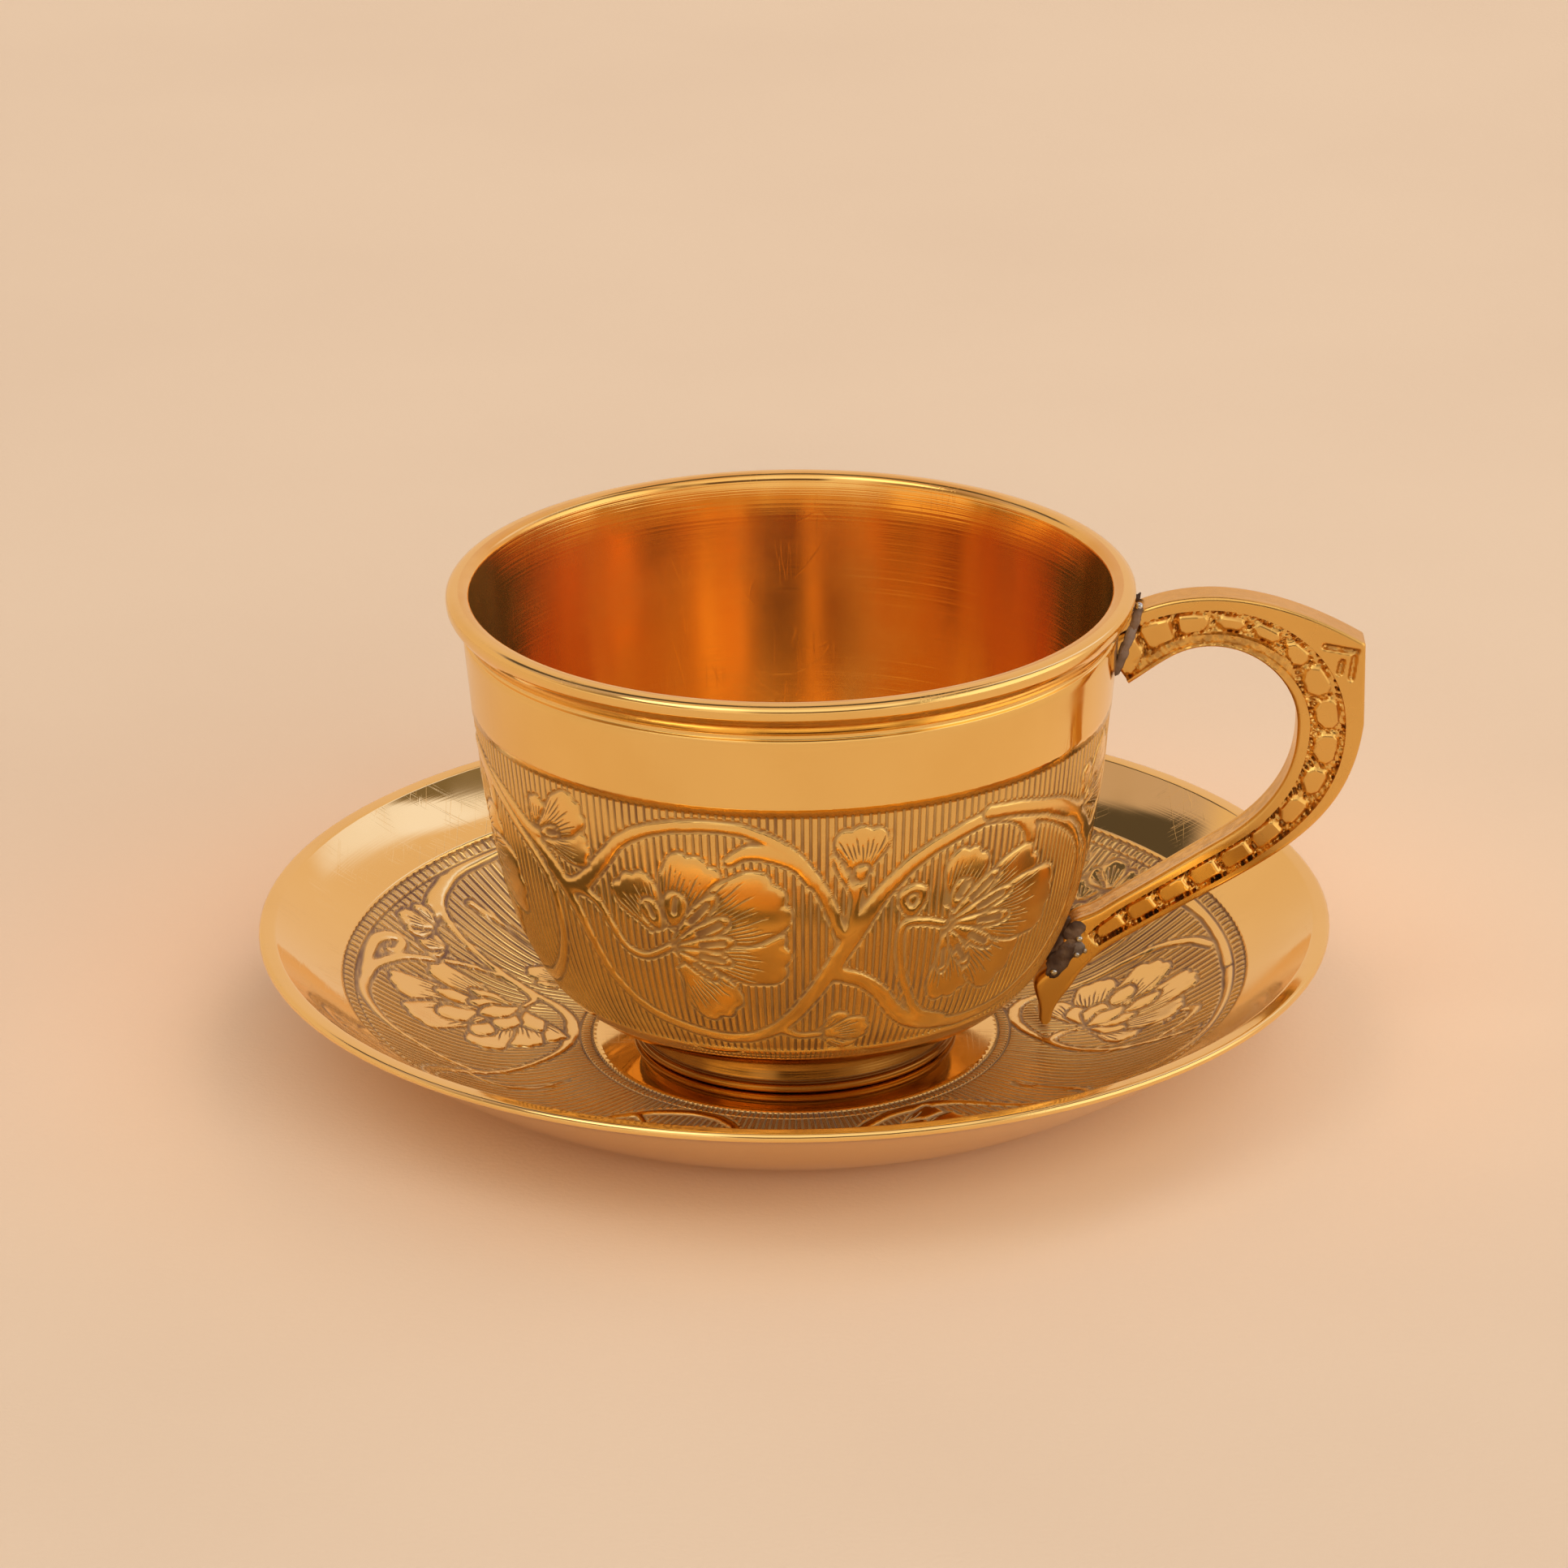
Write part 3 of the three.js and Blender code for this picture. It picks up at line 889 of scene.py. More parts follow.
class Effects:
    """The effects that more than one finish uses, each made once."""

    def __init__(self) -> None:
        """Builds the groups."""
        self.chased = self._chased()
        self.lathe = self._lathe()
        self.wear = self._wear()
        self.tarnish = self._tarnish()

    @staticmethod
    def _chased() -> Tree:
        """Cuts of the chasing: furrows of the ground, outlines and combs, as a mask and a height.

        Returns:
            The group.
        """
        effect = Effect("chased_cuts", ("Lines", "Ground", "Outline", "Comb", "Depth"),
                        ("Cut", "Bare", "Height"))
        graph, source = effect.graph, effect.source
        bare = graph.step(source["Ground"], 0.1, 0.4)
        furrow = graph.step(graph.maths("PINGPONG", source["Lines"], 0.5), 0.34, 0.1)
        hatch = graph.product(furrow, bare)
        line = graph.step(source["Outline"], 0.36, 0.04)
        tooth = graph.step(graph.maths("PINGPONG", source["Comb"], 0.5), 0.24, 0.08)
        comb = graph.product(tooth, source["Depth"])
        cut = graph.maths("MAXIMUM", graph.maths("MAXIMUM", hatch, line), comb)
        effect.give("Cut", cut)
        effect.give("Bare", bare)
        deep = graph.maths("MAXIMUM", graph.product(line, 0.8), comb)
        effect.give("Height", graph.maths("SUBTRACT", 1.0, graph.maths("MAXIMUM", deep, hatch)))
        return effect.tree

    @staticmethod
    def _lathe() -> Tree:
        """Turning marks: fine rings along the profile that fade in and out round the axis.

        Returns:
            The group.
        """
        effect = Effect("lathe_lines", ("Run", "Vector"), ("Height", "Shade"))
        graph, source = effect.graph, effect.source
        fine, coarse = (
            graph.node("ShaderNodeTexNoise", {"W": source["Run"], "Scale": scale, "Detail": detail},
                       noise_dimensions="1D").outputs[0] for scale, detail in ((3.2, 3.0), (0.55, 1.0)))
        fade = graph.step(graph.noise(source["Vector"], 70.0, 2.0), 0.35, 0.65, 0.35, 1.0)
        rings = graph.product(graph.maths("SUBTRACT", fine, 0.5), fade)
        effect.give("Height", graph.maths("ADD", rings, graph.product(coarse, 0.8)))
        effect.give("Shade", graph.step(graph.maths("ADD", rings, 0.5), 0.3, 0.7))
        return effect.tree

    @staticmethod
    def _wear() -> Tree:
        """Handling: broad smudges, and hair scratches that run in two directions.

        Returns:
            The group.
        """
        effect = Effect("hand_wear", ("Vector",), ("Smudge", "Scratch"))
        graph, source = effect.graph, effect.source
        smudge = graph.step(graph.noise(source["Vector"], 55.0, 4.0), 0.36, 0.7)
        hairs = []
        for scale, turn in (((900.0, 35.0, 60.0), (0.3, 0.2, 0.5)), ((50.0, 1100.0, 45.0), (0.7, -0.4, 0.2))):
            streak = graph.noise(graph.stretched(source["Vector"], scale, turn), 1.0, 1.0)
            away = graph.maths("ABSOLUTE", graph.maths("SUBTRACT", streak, 0.5))
            hairs.append(graph.step(away, 0.012, 0.002))
        patch = graph.step(graph.noise(source["Vector"], 130.0, 1.0), 0.5, 0.66)
        effect.give("Smudge", smudge)
        effect.give("Scratch", graph.product(graph.maths("MAXIMUM", *hairs), patch))
        return effect.tree

    @staticmethod
    def _tarnish() -> Tree:
        """Colour of worn brass: bright on the open metal, dark where dirt and polish stay.

        Returns:
            The group.
        """
        effect = Effect("tarnish", ("Bright", "Dull", "Dark", "Deep", "Smudge"), ("Colour",))
        graph, source = effect.graph, effect.source
        share = graph.product(source["Smudge"], 0.55)
        open_metal = graph.mix(share, source["Bright"], source["Dull"])
        effect.give("Colour", graph.mix(source["Deep"], open_metal, source["Dark"]))
        return effect.tree


# Finishes. Depths of bumps are in metres.

RING_DEPTH = 0.00004
TURNED_RING_DEPTH = 0.00003
SCRATCH_DEPTH = -0.000004
CUT_DEPTH = 0.00012
CAST_DEPTH = 0.00022
CRUST_DEPTH = 0.0003
TOOTH_DEPTH = 0.00005


def new_material(name: str) -> tuple[Material, Graph, Node]:
    """Makes a material with nodes.

    Args:
        name: the material's name.

    Returns:
        The material, its graph and its Principled shader.
    """
    material = bpy.data.materials.new(name)
    material.use_nodes = True
    graph = Graph(material.node_tree)
    shader = next(node for node in graph.tree.nodes if node.type == "BSDF_PRINCIPLED")
    return material, graph, shader


@dataclass(frozen=True)
class Brass:
    """Colours and gloss of a brass finish.

    Attributes:
        name: the material's name.
        bright: colour of clean metal.
        dull: colour of handled metal.
        dark: colour in the cuts and hollows.
        gloss: roughness of clean metal and of handled metal.
        rough: roughness in the cuts and hollows.
        metal: how metallic the cuts and hollows are.
    """

    name: str
    bright: Colour
    dull: Colour
    dark: Colour
    gloss: Pair
    rough: float
    metal: float

    def start(self, effects: Effects) -> tuple[Material, Graph, Node, Socket, Outputs]:
        """Makes a metal with what every brass finish needs.

        Args:
            effects: the shared shader groups.

        Returns:
            The material, its graph, its Principled shader, the place on the piece and the marks of wear.
        """
        material, graph, shader = new_material(self.name)
        shader.inputs["Metallic"].default_value = 1.0
        place = graph.place()
        return material, graph, shader, place, graph.group(effects.wear, {"Vector": place}).outputs

    def colour(self, graph: Graph, shader: Node, effects: Effects, deep: Socket,
               smudge: Socket, clean: Socket | None = None, satin_and_shade: Socket | None = None) -> None:
        """Feeds colour, roughness and metal from how deep a place lies and how handled it is.

        Args:
            graph: the material's graph.
            shader: its Principled shader.
            effects: the shared shader groups.
            deep: how deep in a cut or hollow, 0 to 1.
            smudge: how handled, 0 to 1.
            clean: colour of clean metal where it varies, which in the chased brass holds the painted shade
                inside the cup.
            satin_and_shade: how far the metal is brushed to a satin, 0 to 1; in the chased brass the same
                mask also pulls the colour towards painted shade inside the cup.
        """
        tarnish = graph.group(effects.tarnish, {"Bright": clean or self.bright, "Dull": self.dull,
                                                "Dark": self.dark, "Deep": deep, "Smudge": smudge})
        open_gloss = graph.step(smudge, 0.0, 1.0, *self.gloss)
        low = graph.node("ShaderNodeMix", {0: deep, 2: open_gloss, 3: self.rough}).outputs[0]
        graph.link(tarnish.outputs["Colour"], shader, "Base Color")
        graph.link(low, shader, "Roughness")
        metal = graph.step(deep, 0.0, 1.0, 1.0, self.metal)
        if satin_and_shade is not None:
            metal = graph.product(metal, graph.step(satin_and_shade, 0.0, 1.0, 1.0, 0.45))
        graph.link(metal, shader, "Metallic")

    @staticmethod
    def bumps(graph: Graph, shader: Node, layers: tuple[tuple[Socket, float], ...]) -> None:
        """Feeds the normal from heights, each with its depth in metres.

        Args:
            graph: the material's graph.
            shader: its Principled shader.
            layers: each height and its depth.
        """
        normal = None
        for height, depth in layers:
            sockets = {"Height": height, "Distance": depth}
            if normal is not None:
                sockets["Normal"] = normal
            normal = graph.node("ShaderNodeBump", sockets).outputs[0]
        graph.link(normal, shader, "Normal")


@dataclass(frozen=True)
class ChasedBrass(Brass):
    """Polished brass with a chased ground, darkened in the cuts, and with painted shade inside the cup.

    Attributes:
        lines: lines of the ground once round.
        patina: how dark the bare ground is between its lines.
        painted_inside_shade: colour of the painted shade inside the cup, laid on in upright streaks in place
            of reflections.
    """

    lines: int = 240
    patina: float = 0.2
    painted_inside_shade: Colour = (0.82, 0.465, 0.125, 1.0)

    def material(self, effects: Effects) -> Material:
        """Builds the material.

        Args:
            effects: the shared shader groups.

        Returns:
            The material.
        """
        material, graph, shader, place, wear = self.start(effects)
        lathe = graph.group(effects.lathe, {"Run": graph.attribute("run"), "Vector": place}).outputs
        wrap = graph.node("ShaderNodeUVMap", uv_map=WRAP_MAP).outputs[0]
        across = graph.node("ShaderNodeSeparateXYZ", {0: wrap}).outputs[0]
        drawn = {name: graph.attribute(name.lower()) for name in ("Ground", "Outline", "Comb", "Depth")}
        lines = graph.product(across, float(self.lines))
        cuts = graph.group(effects.chased, {"Lines": lines, **drawn}).outputs
        uneven = graph.step(graph.noise(place, 160.0, 3.0), 0.3, 0.7, 0.6, 1.0)
        rings = graph.attribute("rings")
        stain = graph.product(cuts["Bare"], self.patina)
        # Painted reflection and shade: inside the cup the colour is pulled towards a darker brown, in upright
        # streaks and a little all over, in place of the streaks that the walls mirror.
        streak = graph.noise(graph.stretched(place, (1.0, 1.0, 0.06)), 85.0, 2.0)
        painted_streak_shade = graph.product(graph.step(streak, 0.36, 0.62, 0.3, 1.0), graph.step(rings, 0.3, 0.5))
        deep = graph.product(graph.maths("MAXIMUM", cuts["Cut"], stain), uneven)
        satin_and_shade = graph.attribute("satin_and_shade")
        clean = graph.mix(graph.maths("MAXIMUM", painted_streak_shade, satin_and_shade), self.bright, self.painted_inside_shade)
        handled = graph.maths("MAXIMUM", wear["Smudge"], graph.step(rings, 0.09, 0.01))
        self.colour(graph, shader, effects, deep, handled, clean, satin_and_shade)
        turning = graph.product(lathe["Height"], rings)
        self.bumps(graph, shader, ((turning, RING_DEPTH), (wear["Scratch"], SCRATCH_DEPTH),
                                   (cuts["Height"], CUT_DEPTH)))
        return material


@dataclass(frozen=True)
class TurnedBrass(Brass):
    """Brass as it comes off the lathe, lightly polished."""

    def material(self, effects: Effects) -> Material:
        """Builds the material.

        Args:
            effects: the shared shader groups.

        Returns:
            The material.
        """
        material, graph, shader, place, wear = self.start(effects)
        lathe = graph.group(effects.lathe, {"Run": graph.attribute("run"), "Vector": place}).outputs
        hollow = graph.attribute("hollow")
        deep = graph.product(hollow, graph.step(lathe["Shade"], 0.0, 1.0, 0.7, 1.0))
        self.colour(graph, shader, effects, deep, wear["Smudge"])
        self.bumps(graph, shader, ((lathe["Height"], TURNED_RING_DEPTH), (wear["Scratch"], SCRATCH_DEPTH)))
        return material


@dataclass(frozen=True)
class CastBrass(Brass):
    """Cast brass, buffed on its raised edges and grainy in its hollows."""

    def material(self, effects: Effects) -> Material:
        """Builds the material.

        Args:
            effects: the shared shader groups.

        Returns:
            The material.
        """
        material, graph, shader, place, wear = self.start(effects)
        grain = graph.noise(place, 900.0, 3.0)
        lumps = graph.noise(place, 330.0, 2.0)
        hollow = graph.attribute("hollow")
        cast = graph.attribute("cast")
        dirt = graph.step(graph.maths("ADD", graph.product(hollow, 0.75),
                                      graph.product(graph.maths("SUBTRACT", lumps, 0.5), 0.8)),
                          0.3, 0.95)
        pits = graph.product(cast, graph.step(grain, 0.62, 0.4))
        deep = graph.maths("MAXIMUM", dirt, graph.product(pits, 0.5))
        self.colour(graph, shader, effects, deep, wear["Smudge"])
        rough = graph.product(graph.maths("ADD", grain, lumps), cast)
        self.bumps(graph, shader, ((rough, CAST_DEPTH), (wear["Scratch"], SCRATCH_DEPTH)))
        return material


@dataclass(frozen=True)
class Braze(Brass):
    """Braze as it flowed: a dark crust with brighter beads.

    Attributes:
        bead: colour of the beads.
    """

    bead: Colour = (0.55, 0.55, 0.56, 1.0)

    def material(self, effects: Effects) -> Material:
        """Builds the material.

        Args:
            effects: the shared shader groups.

        Returns:
            The material.
        """
        material, graph, shader, place, wear = self.start(effects)
        crust = graph.noise(place, 750.0, 4.0)
        stain = graph.step(graph.noise(place, 260.0, 3.0), 0.35, 0.65)
        bead = graph.attribute("bead")
        tarnish = graph.group(effects.tarnish, {"Bright": self.bright, "Dull": self.dull, "Dark": self.dark,
                                                "Deep": stain, "Smudge": wear["Smudge"]})
        colour = graph.mix(bead, tarnish.outputs["Colour"], self.bead)
        rough = graph.step(crust, 0.3, 0.7, self.gloss[0], self.rough)
        low = graph.node("ShaderNodeMix", {0: bead, 2: rough, 3: self.gloss[1]}).outputs[0]
        graph.link(colour, shader, "Base Color")
        graph.link(low, shader, "Roughness")
        graph.link(graph.step(bead, 0.0, 1.0, self.metal, 1.0), shader, "Metallic")
        calm = graph.product(crust, graph.step(bead, 0.0, 1.0, 1.0, 0.1))
        self.bumps(graph, shader, ((calm, CRUST_DEPTH),))
        return material


@dataclass(frozen=True)
class Paper:
    """Plain matt floor, mottled from its tint to its shade."""

    name: str
    tint: Colour
    shade: Colour

    def material(self) -> Material:
        """Builds the material.

        Returns:
            The material.
        """
        material, graph, shader = new_material(self.name)
        shader.inputs["Roughness"].default_value = 0.8
        shader.inputs["Specular IOR Level"].default_value = 0.25
        place = graph.place()
        mottle = graph.step(graph.noise(place, 9.0, 4.0), 0.3, 0.75)
        graph.link(graph.mix(mottle, self.tint, self.shade), shader, "Base Color")
        tooth = graph.noise(place, 1400.0, 2.0)
        bump = graph.node("ShaderNodeBump", {"Height": tooth, "Distance": TOOTH_DEPTH}).outputs[0]
        graph.link(bump, shader, "Normal")
        return material


# Sub-assemblies


@dataclass
class Saucer:
    """Spun dish: flat floor, rising wall and flat lip, with a chased ring. Sizes in mm."""

    floor: float = 1.5
    floor_radius: float = 31.7
    lip_inner: float = 63.1
    lip_outer: float = 64.45
    edge: float = 0.55
    rim: float = 17.0
    bend: Pair = (39.71, 1.5)
    climb: Pair = (45.6, 4.2)
    chased_outer: float = 55.0
    outer_ticks: float = 53.4
    inner_ticks: float = 26.3
    chased_inner: float = 24.6
    lines: int = 228
    chased_rows: int = 118
    reference: float = 40.0
    dip: float = 0.35

    def wall(self) -> Array:
        """Top of the wall, from the floor out to the lip: one cubic curve."""
        foot, lip = (self.floor_radius, self.floor), (self.lip_inner, self.rim)
        return bezier((foot, self.bend, self.climb, lip), 400)

    def outside(self) -> Array:
        """Underside from near the axis to the rim, over the edge, and down the flange to the ring.

        The flange is hollowed by a parabola that is as deep as the dip in its middle.

        Returns:
            Radius and height of each row.
        """
        wall = self.wall()
        under = respaced(offset_line(wall, self.floor), np.linspace(0.0, 0.985, 16))
        turn = np.linspace(-0.5 * math.pi, 0.5 * math.pi, 9)[:, None]
        middle = np.array([self.lip_outer, self.rim - self.edge])
        edge = middle + self.edge * np.hstack([np.cos(turn), np.sin(turn)])
        lip = np.array([[64.2, self.rim], [63.7, self.rim - 0.01], [63.25, self.rim - 0.03]])
        plain = wall[wall[:, 0] > self.chased_outer][::-1]
        share = (plain[:, 0] - self.chased_outer) / (self.lip_inner - self.chased_outer)
        plain = plain - np.stack([0.0 * share, 4.0 * self.dip * share * (1.0 - share)], axis=1)
        stops = np.concatenate([[0.014, 0.03, 0.055], np.linspace(0.1, 0.97, 10)])
        return np.vstack([[[10.0, 0.0], [22.0, 0.0], [31.2, 0.0]], under, edge, lip, respaced(plain, stops)])

    def ring(self) -> Array:
        """Profile of the chased ring, from its outer edge in to its inner one.

        Returns:
            Radius and height of each row.
        """
        wall = self.wall()[::-1]
        kept = wall[wall[:, 0] <= self.chased_outer]
        line = np.vstack([kept, [[self.chased_inner, self.floor]]])
        return respaced(line, np.linspace(0.0, 1.0, self.chased_rows))

    @staticmethod
    def _outward() -> list[Motif]:
        """The flower that opens towards the rim, with the vine that swings in below it.

        Returns:
            Motifs in the order that they are painted.
        """
        vine = Stroke(((-60, 52.9), (-45, 53), (-34, 52.4), (-27.9, 49.6), (-25, 44.4), (-21.8, 36.8),
            (-15, 30.2), (-6, 27.6), (4, 27.4), (12, 29.4), (18, 34.4), (22.5, 41), (27, 47.6), (34, 52.2),
            (45, 53), (60, 52.9)), (1.7, 1.3, 1.9, 1.3, 1.7))
        ring = Stroke(((-22.6, 38), (-20, 43.2), (-13.5, 48.2), (-4.6, 51.6), (5, 52.3), (13, 50.4),
            (19, 45.4), (22.6, 40.6)), (1, 1.3, 1.6, 1.2))
        curl = Stroke(((-1, 52.2), (-7, 52.6), (-12, 52.3), (-15, 51.3), (-15.2, 50.1), (-12.6, 49.9),
            (-11, 50.8)), (1.3, 1.8, 0.9))
        stem = Stroke(((-21.5, 38.5), (-20, 35.6), (-17, 33.7), (-12.5, 34.3)), (1, 1.3, 1))
        stalk = Stroke(((-33.6, 52.6), (-29.9, 51.6), (-25.6, 50.2), (-21.9, 49.7), (-20.3, 50.4)),
            (1.4, 2.2, 1))
        leaf = Stroke(((27.5, 31), (29, 36), (27.6, 40.5), (24, 43.4)), (0.7, 1.4, 1))
        bloom = Bloom((-12.5, 34.3), ((96, 12.3, 2.4), (-22, 14, 2.3), (66, 17, 2.7), (-6, 14.8, 2.5),
            (15, 16.5, 2.7), (44, 18.2, 2.9)), ((93, 1, 7, 1.7), (70, 5, 11, 1.8), (-20, 1, 9.5, 1.8),
            (22, 7, 13, 1.9), (10, 2.6, 9, 2), (45, 6.4, 13.4, 2.1), (66, 1.4, 7, 1.8),
            (40, 0.5, 7, 2)), 2.2, 1.35)
        bud = Bloom((-24, 48.4), ((100, 4.2, 1.5), (30, 4.6, 1.5), (62, 5, 1.7)), inset=0.5)
        low_bud = Bloom((-21.2, 45.8), ((85, 3.8, 1.4), (30, 3.8, 1.4), (58, 4.2, 1.5)), inset=0.5)
        sprig = Bloom((-29, 30.2), ((56, 6.2, 1.8), (124, 6.2, 1.8), (90, 7.8, 2.2)), inset=0.6)
        return [Vine((vine, ring, curl, stem, stalk, leaf)), *bloom.motifs(), *low_bud.motifs(),
                *bud.motifs(), *sprig.motifs()]

    @staticmethod
    def _inward() -> list[Motif]:
        """The flower that hangs inside the vine's outer swing, with the ring that closes it.

        Returns:
            Motifs in the order that they are painted.
        """
        ring = Stroke(((-18.5, 50.6), (-16, 45), (-13.6, 38.6), (-10, 32.4), (-2.5, 28.4), (6, 27),
            (13, 28), (17, 31), (18.5, 38), (17.5, 45.5), (13, 50), (8, 51.8)), (1.2, 1.5, 1.8, 1.5, 1.2))
        curl = Stroke(((-15.2, 43.5), (-13.6, 47.6), (-9.8, 49), (-7.6, 47), (-9.6, 45.6)), (1, 1.5, 0.8))
        stem = Stroke(((-10.5, 33), (-7.6, 31.4), (-4, 32.4), (-1.3, 34.8)), (1, 1.3, 1))
        leaf = Stroke(((26, 48.8), (24.4, 44), (24, 40)), (1.3, 0.7))
        bloom = Bloom((-1.3, 34.8), ((132, 9.6, 2.3), (-16, 10.4, 2.4), (104, 13.2, 2.7), (18, 13.8, 2.8),
            (78, 15, 2.9), (48, 15.4, 3)), ((116, 1, 6.4, 1.7), (0, 1, 7.4, 1.8), (72, 5.4, 10.6, 1.8),
            (42, 5.6, 11, 1.9), (88, 1.4, 7, 1.8), (28, 1.4, 7.4, 2), (58, 0.6, 6.6, 1.9)), 2.2, 1.35)
        return [Vine((ring, curl, stem, leaf)), *bloom.motifs()]

    def chasing(self, columns: Array, rows: Array) -> Chasing:
        """Six flowers in a swinging vine, between an outer and an inner ring of ticks.

        Args:
            columns: angles of the columns, in radians.
            rows: profile of the ornament.

        Returns:
            The ornament.
        """
        chasing = Chasing(columns, rows[:, 0], self.reference)
        for turn in (-90.0, 30.0, 150.0):
            for motif in self._outward():
                chasing.paint(motif, turn)
            for motif in self._inward():
                chasing.paint(motif, turn + 60.0)
        chasing.clear(self.outer_ticks, math.inf)
        chasing.clear(-math.inf, self.inner_ticks)
        for height in (self.chased_outer - 0.3, self.outer_ticks, self.inner_ticks, self.chased_inner + 0.3):
            chasing.rule(height)
        return chasing

    def build(self, effects: Effects) -> None:
        """Makes the dish and dresses it.

        Args:
            effects: the shared shader groups.
        """
        columns, furrow = furrow_columns(self.lines, share=0.25, seed=3)
        rows = self.ring()
        chasing = self.chasing(columns, rows)
        coarse = even_columns(self.lines // 2)
        well = np.array([[24.0, self.floor], [20.0, self.floor], [12.0, self.floor], [5.0, self.floor]])
        runs = [Run(self.outside(), coarse),
                Run(rows, columns, chasing.lift(furrow, ground_drop=0.1, line_drop=0.16, furrow_drop=0.26),
                    chasing.values()),
                Run(well, coarse)]
        finish = ChasedBrass("saucer_brass", bright=(0.93, 0.64, 0.24, 1.0), dull=(0.89, 0.59, 0.20, 1.0),
                             dark=(0.20, 0.10, 0.07, 1.0), gloss=(0.045, 0.15), rough=0.55, metal=0.18,
                             lines=self.lines, patina=0.3)
        piece = make_piece("saucer_dish", turned(runs, PLAIN, 0.0, self.floor), finish.material(effects))
        seat(piece, Body.SAUCER, "saucer")


@dataclass
class Bowl:
    """Turned shell of the cup: chased belly, plain band, cove and rolled lip. Sizes in mm."""

    base_radius: float = 19.1
    base: float = 6.2
    rim: float = 59.7
    wall: float = 1.3
    inner_floor: float = 7.5
    belly: Pair = (38.47, 45.1)
    shoulder: Pair = (39.33, 54.75)
    chased_depth: float = 34.6
    lines: int = 240
    chased_rows: int = 116
    reference: float = 37.5

    def side(self) -> Array:
        """Outside of the bowl from its base up to the belly: one cubic curve."""
        return bezier(((self.base_radius, self.base), (31.55, 7.2), (35.85, 17.5), self.belly), 500)

    def outline(self, height: Array) -> Array:
        """Radius of the bowl's outside at given heights, up to the shoulder."""
        side = np.vstack([self.side(), [self.shoulder]])
        return np.interp(height, side[:, 1], side[:, 0])

    def bottom(self) -> tuple[Array, Array]:
        """Plain underside, and the chased belly above it.

        Returns:
            The profile of each, from the bottom up.
        """
        side = self.side()
        below = travelled(side)[-1] - travelled(side) > self.chased_depth
        plain = respaced(side[below], np.linspace(0.0, 0.97, 12))
        belly = respaced(side[~below], np.append(np.linspace(0.0, 0.9975, self.chased_rows - 1), 1.0))
        return np.vstack([[[8.0, self.base], [15.0, self.base]], plain]), belly

    def top(self) -> Array:
        """Plain band, cove, lip and inside, down to near the axis.

        Returns:
            Radius and height of each row.
        """
        band = np.linspace(self.belly, self.shoulder, 9)[1:]
        step = np.array([[39.3, 54.8], [39.08, 54.86]])
        cove = bezier(((39.0, 54.96), (38.93, 55.3), (39.1, 55.7), (39.5, 56.12)), 7)
        flare = bezier(((39.75, 56.36), (40.4, 57.0), (40.95, 57.5), (41.18, 58.2)), 6)
        crown = bezier(((41.25, 58.8), (41.3, 59.3), (40.8, self.rim), (40.1, self.rim)), 7)
        mouth = bezier(((39.6, self.rim), (38.9, self.rim), (38.5, 59.45), (38.38, 58.9)), 6)
        inner = offset_line(np.vstack([self.side(), [self.shoulder]])[::-1], self.wall)
        drop = respaced(inner[inner[:, 1] > 11.0], np.linspace(0.03, 1.0, 24))
        bottom = bezier((tuple(drop[-1]), (27.0, 8.2), (22.0, 7.6), (14.0, self.inner_floor)), 9)[1:]
        centre = [[6.0, self.inner_floor]]
        return np.vstack([band, step, cove, flare, crown, mouth, drop, bottom, centre])

    @staticmethod
    def _upper() -> list[Motif]:
        """The flower in the vine's lower swing, with the buds beside it.

        Returns:
            Motifs in the order that they are painted.
        """
        bloom = Bloom((-24.2, -18.8), ((120, 10.6, 3.4), (-52, 12, 3.8), (70, 13.8, 3.9), (0, 15.6, 4.3),
            (31, 17.2, 4.8)), ((112, 2.4, 6.8, 1.5, 0.12), (76, 3, 8, 1.7, 0.12), (50, 1, 10.4, 1.1, 0.2),
            (30, 1, 9.4, 1.2, 0.25), (11, 1, 8.8, 1.1, 0.2), (-9, 1, 8.4, 1, 0.2),
            (-32, 1, 7.4, 1, 0.2)), 2.6)
        cup = Bloom((12, -9.2), ((90, 7.8, 3.5),), ((90, 0, 2.4, 1),), 1.2)
        low_bud = Bloom((4.6, -31.2), ((38, 5.4, 1.7), (-26, 6, 1.8), (6, 7.4, 2.3)), inset=0.8)
        pink = Bloom((-53.5, -8.2), ((82, 5.4, 2.1), (0, 9.4, 2.6), (36, 10.2, 2.9)),
            ((20, 0.6, 4.6, 1, 0.2),), 0.9)
        return [*bloom.motifs(), *cup.motifs(), *low_bud.motifs(), *pink.motifs()]

    @staticmethod
    def _lower() -> list[Motif]:
        """The flower under the vine's upper swing, with the small round flower beside it.

        Returns:
            Motifs in the order that they are painted.
        """
        bloom = Bloom((29, -16.6), ((68, 10.4, 3.2), (-76, 11.8, 3.6), (20, 15.4, 3.6), (-38, 15.6, 4.4),
            (-4, 19, 4.6)), ((62, 2, 6.4, 1.4, 0.3), (36, 1, 9.4, 1.1, 0.25), (14, 1, 10.4, 1.1, 0.25),
            (-8, 1, 10.4, 1.1, 0.25), (-32, 1, 9.4, 1.1, 0.25), (-58, 1, 8.4, 1, 0.2),
            (-86, 1, 7, 1, 0.2)), 2.4)
        ring = Leaf((22.2, -12.6), 90, -2.2, 2.3, 2.1, puff=0.15)
        eye = Leaf((22.2, -12.4), 90, -0.8, 0.8, 0.75, puff=-0.06)
        return [*bloom.motifs(), ring, eye]

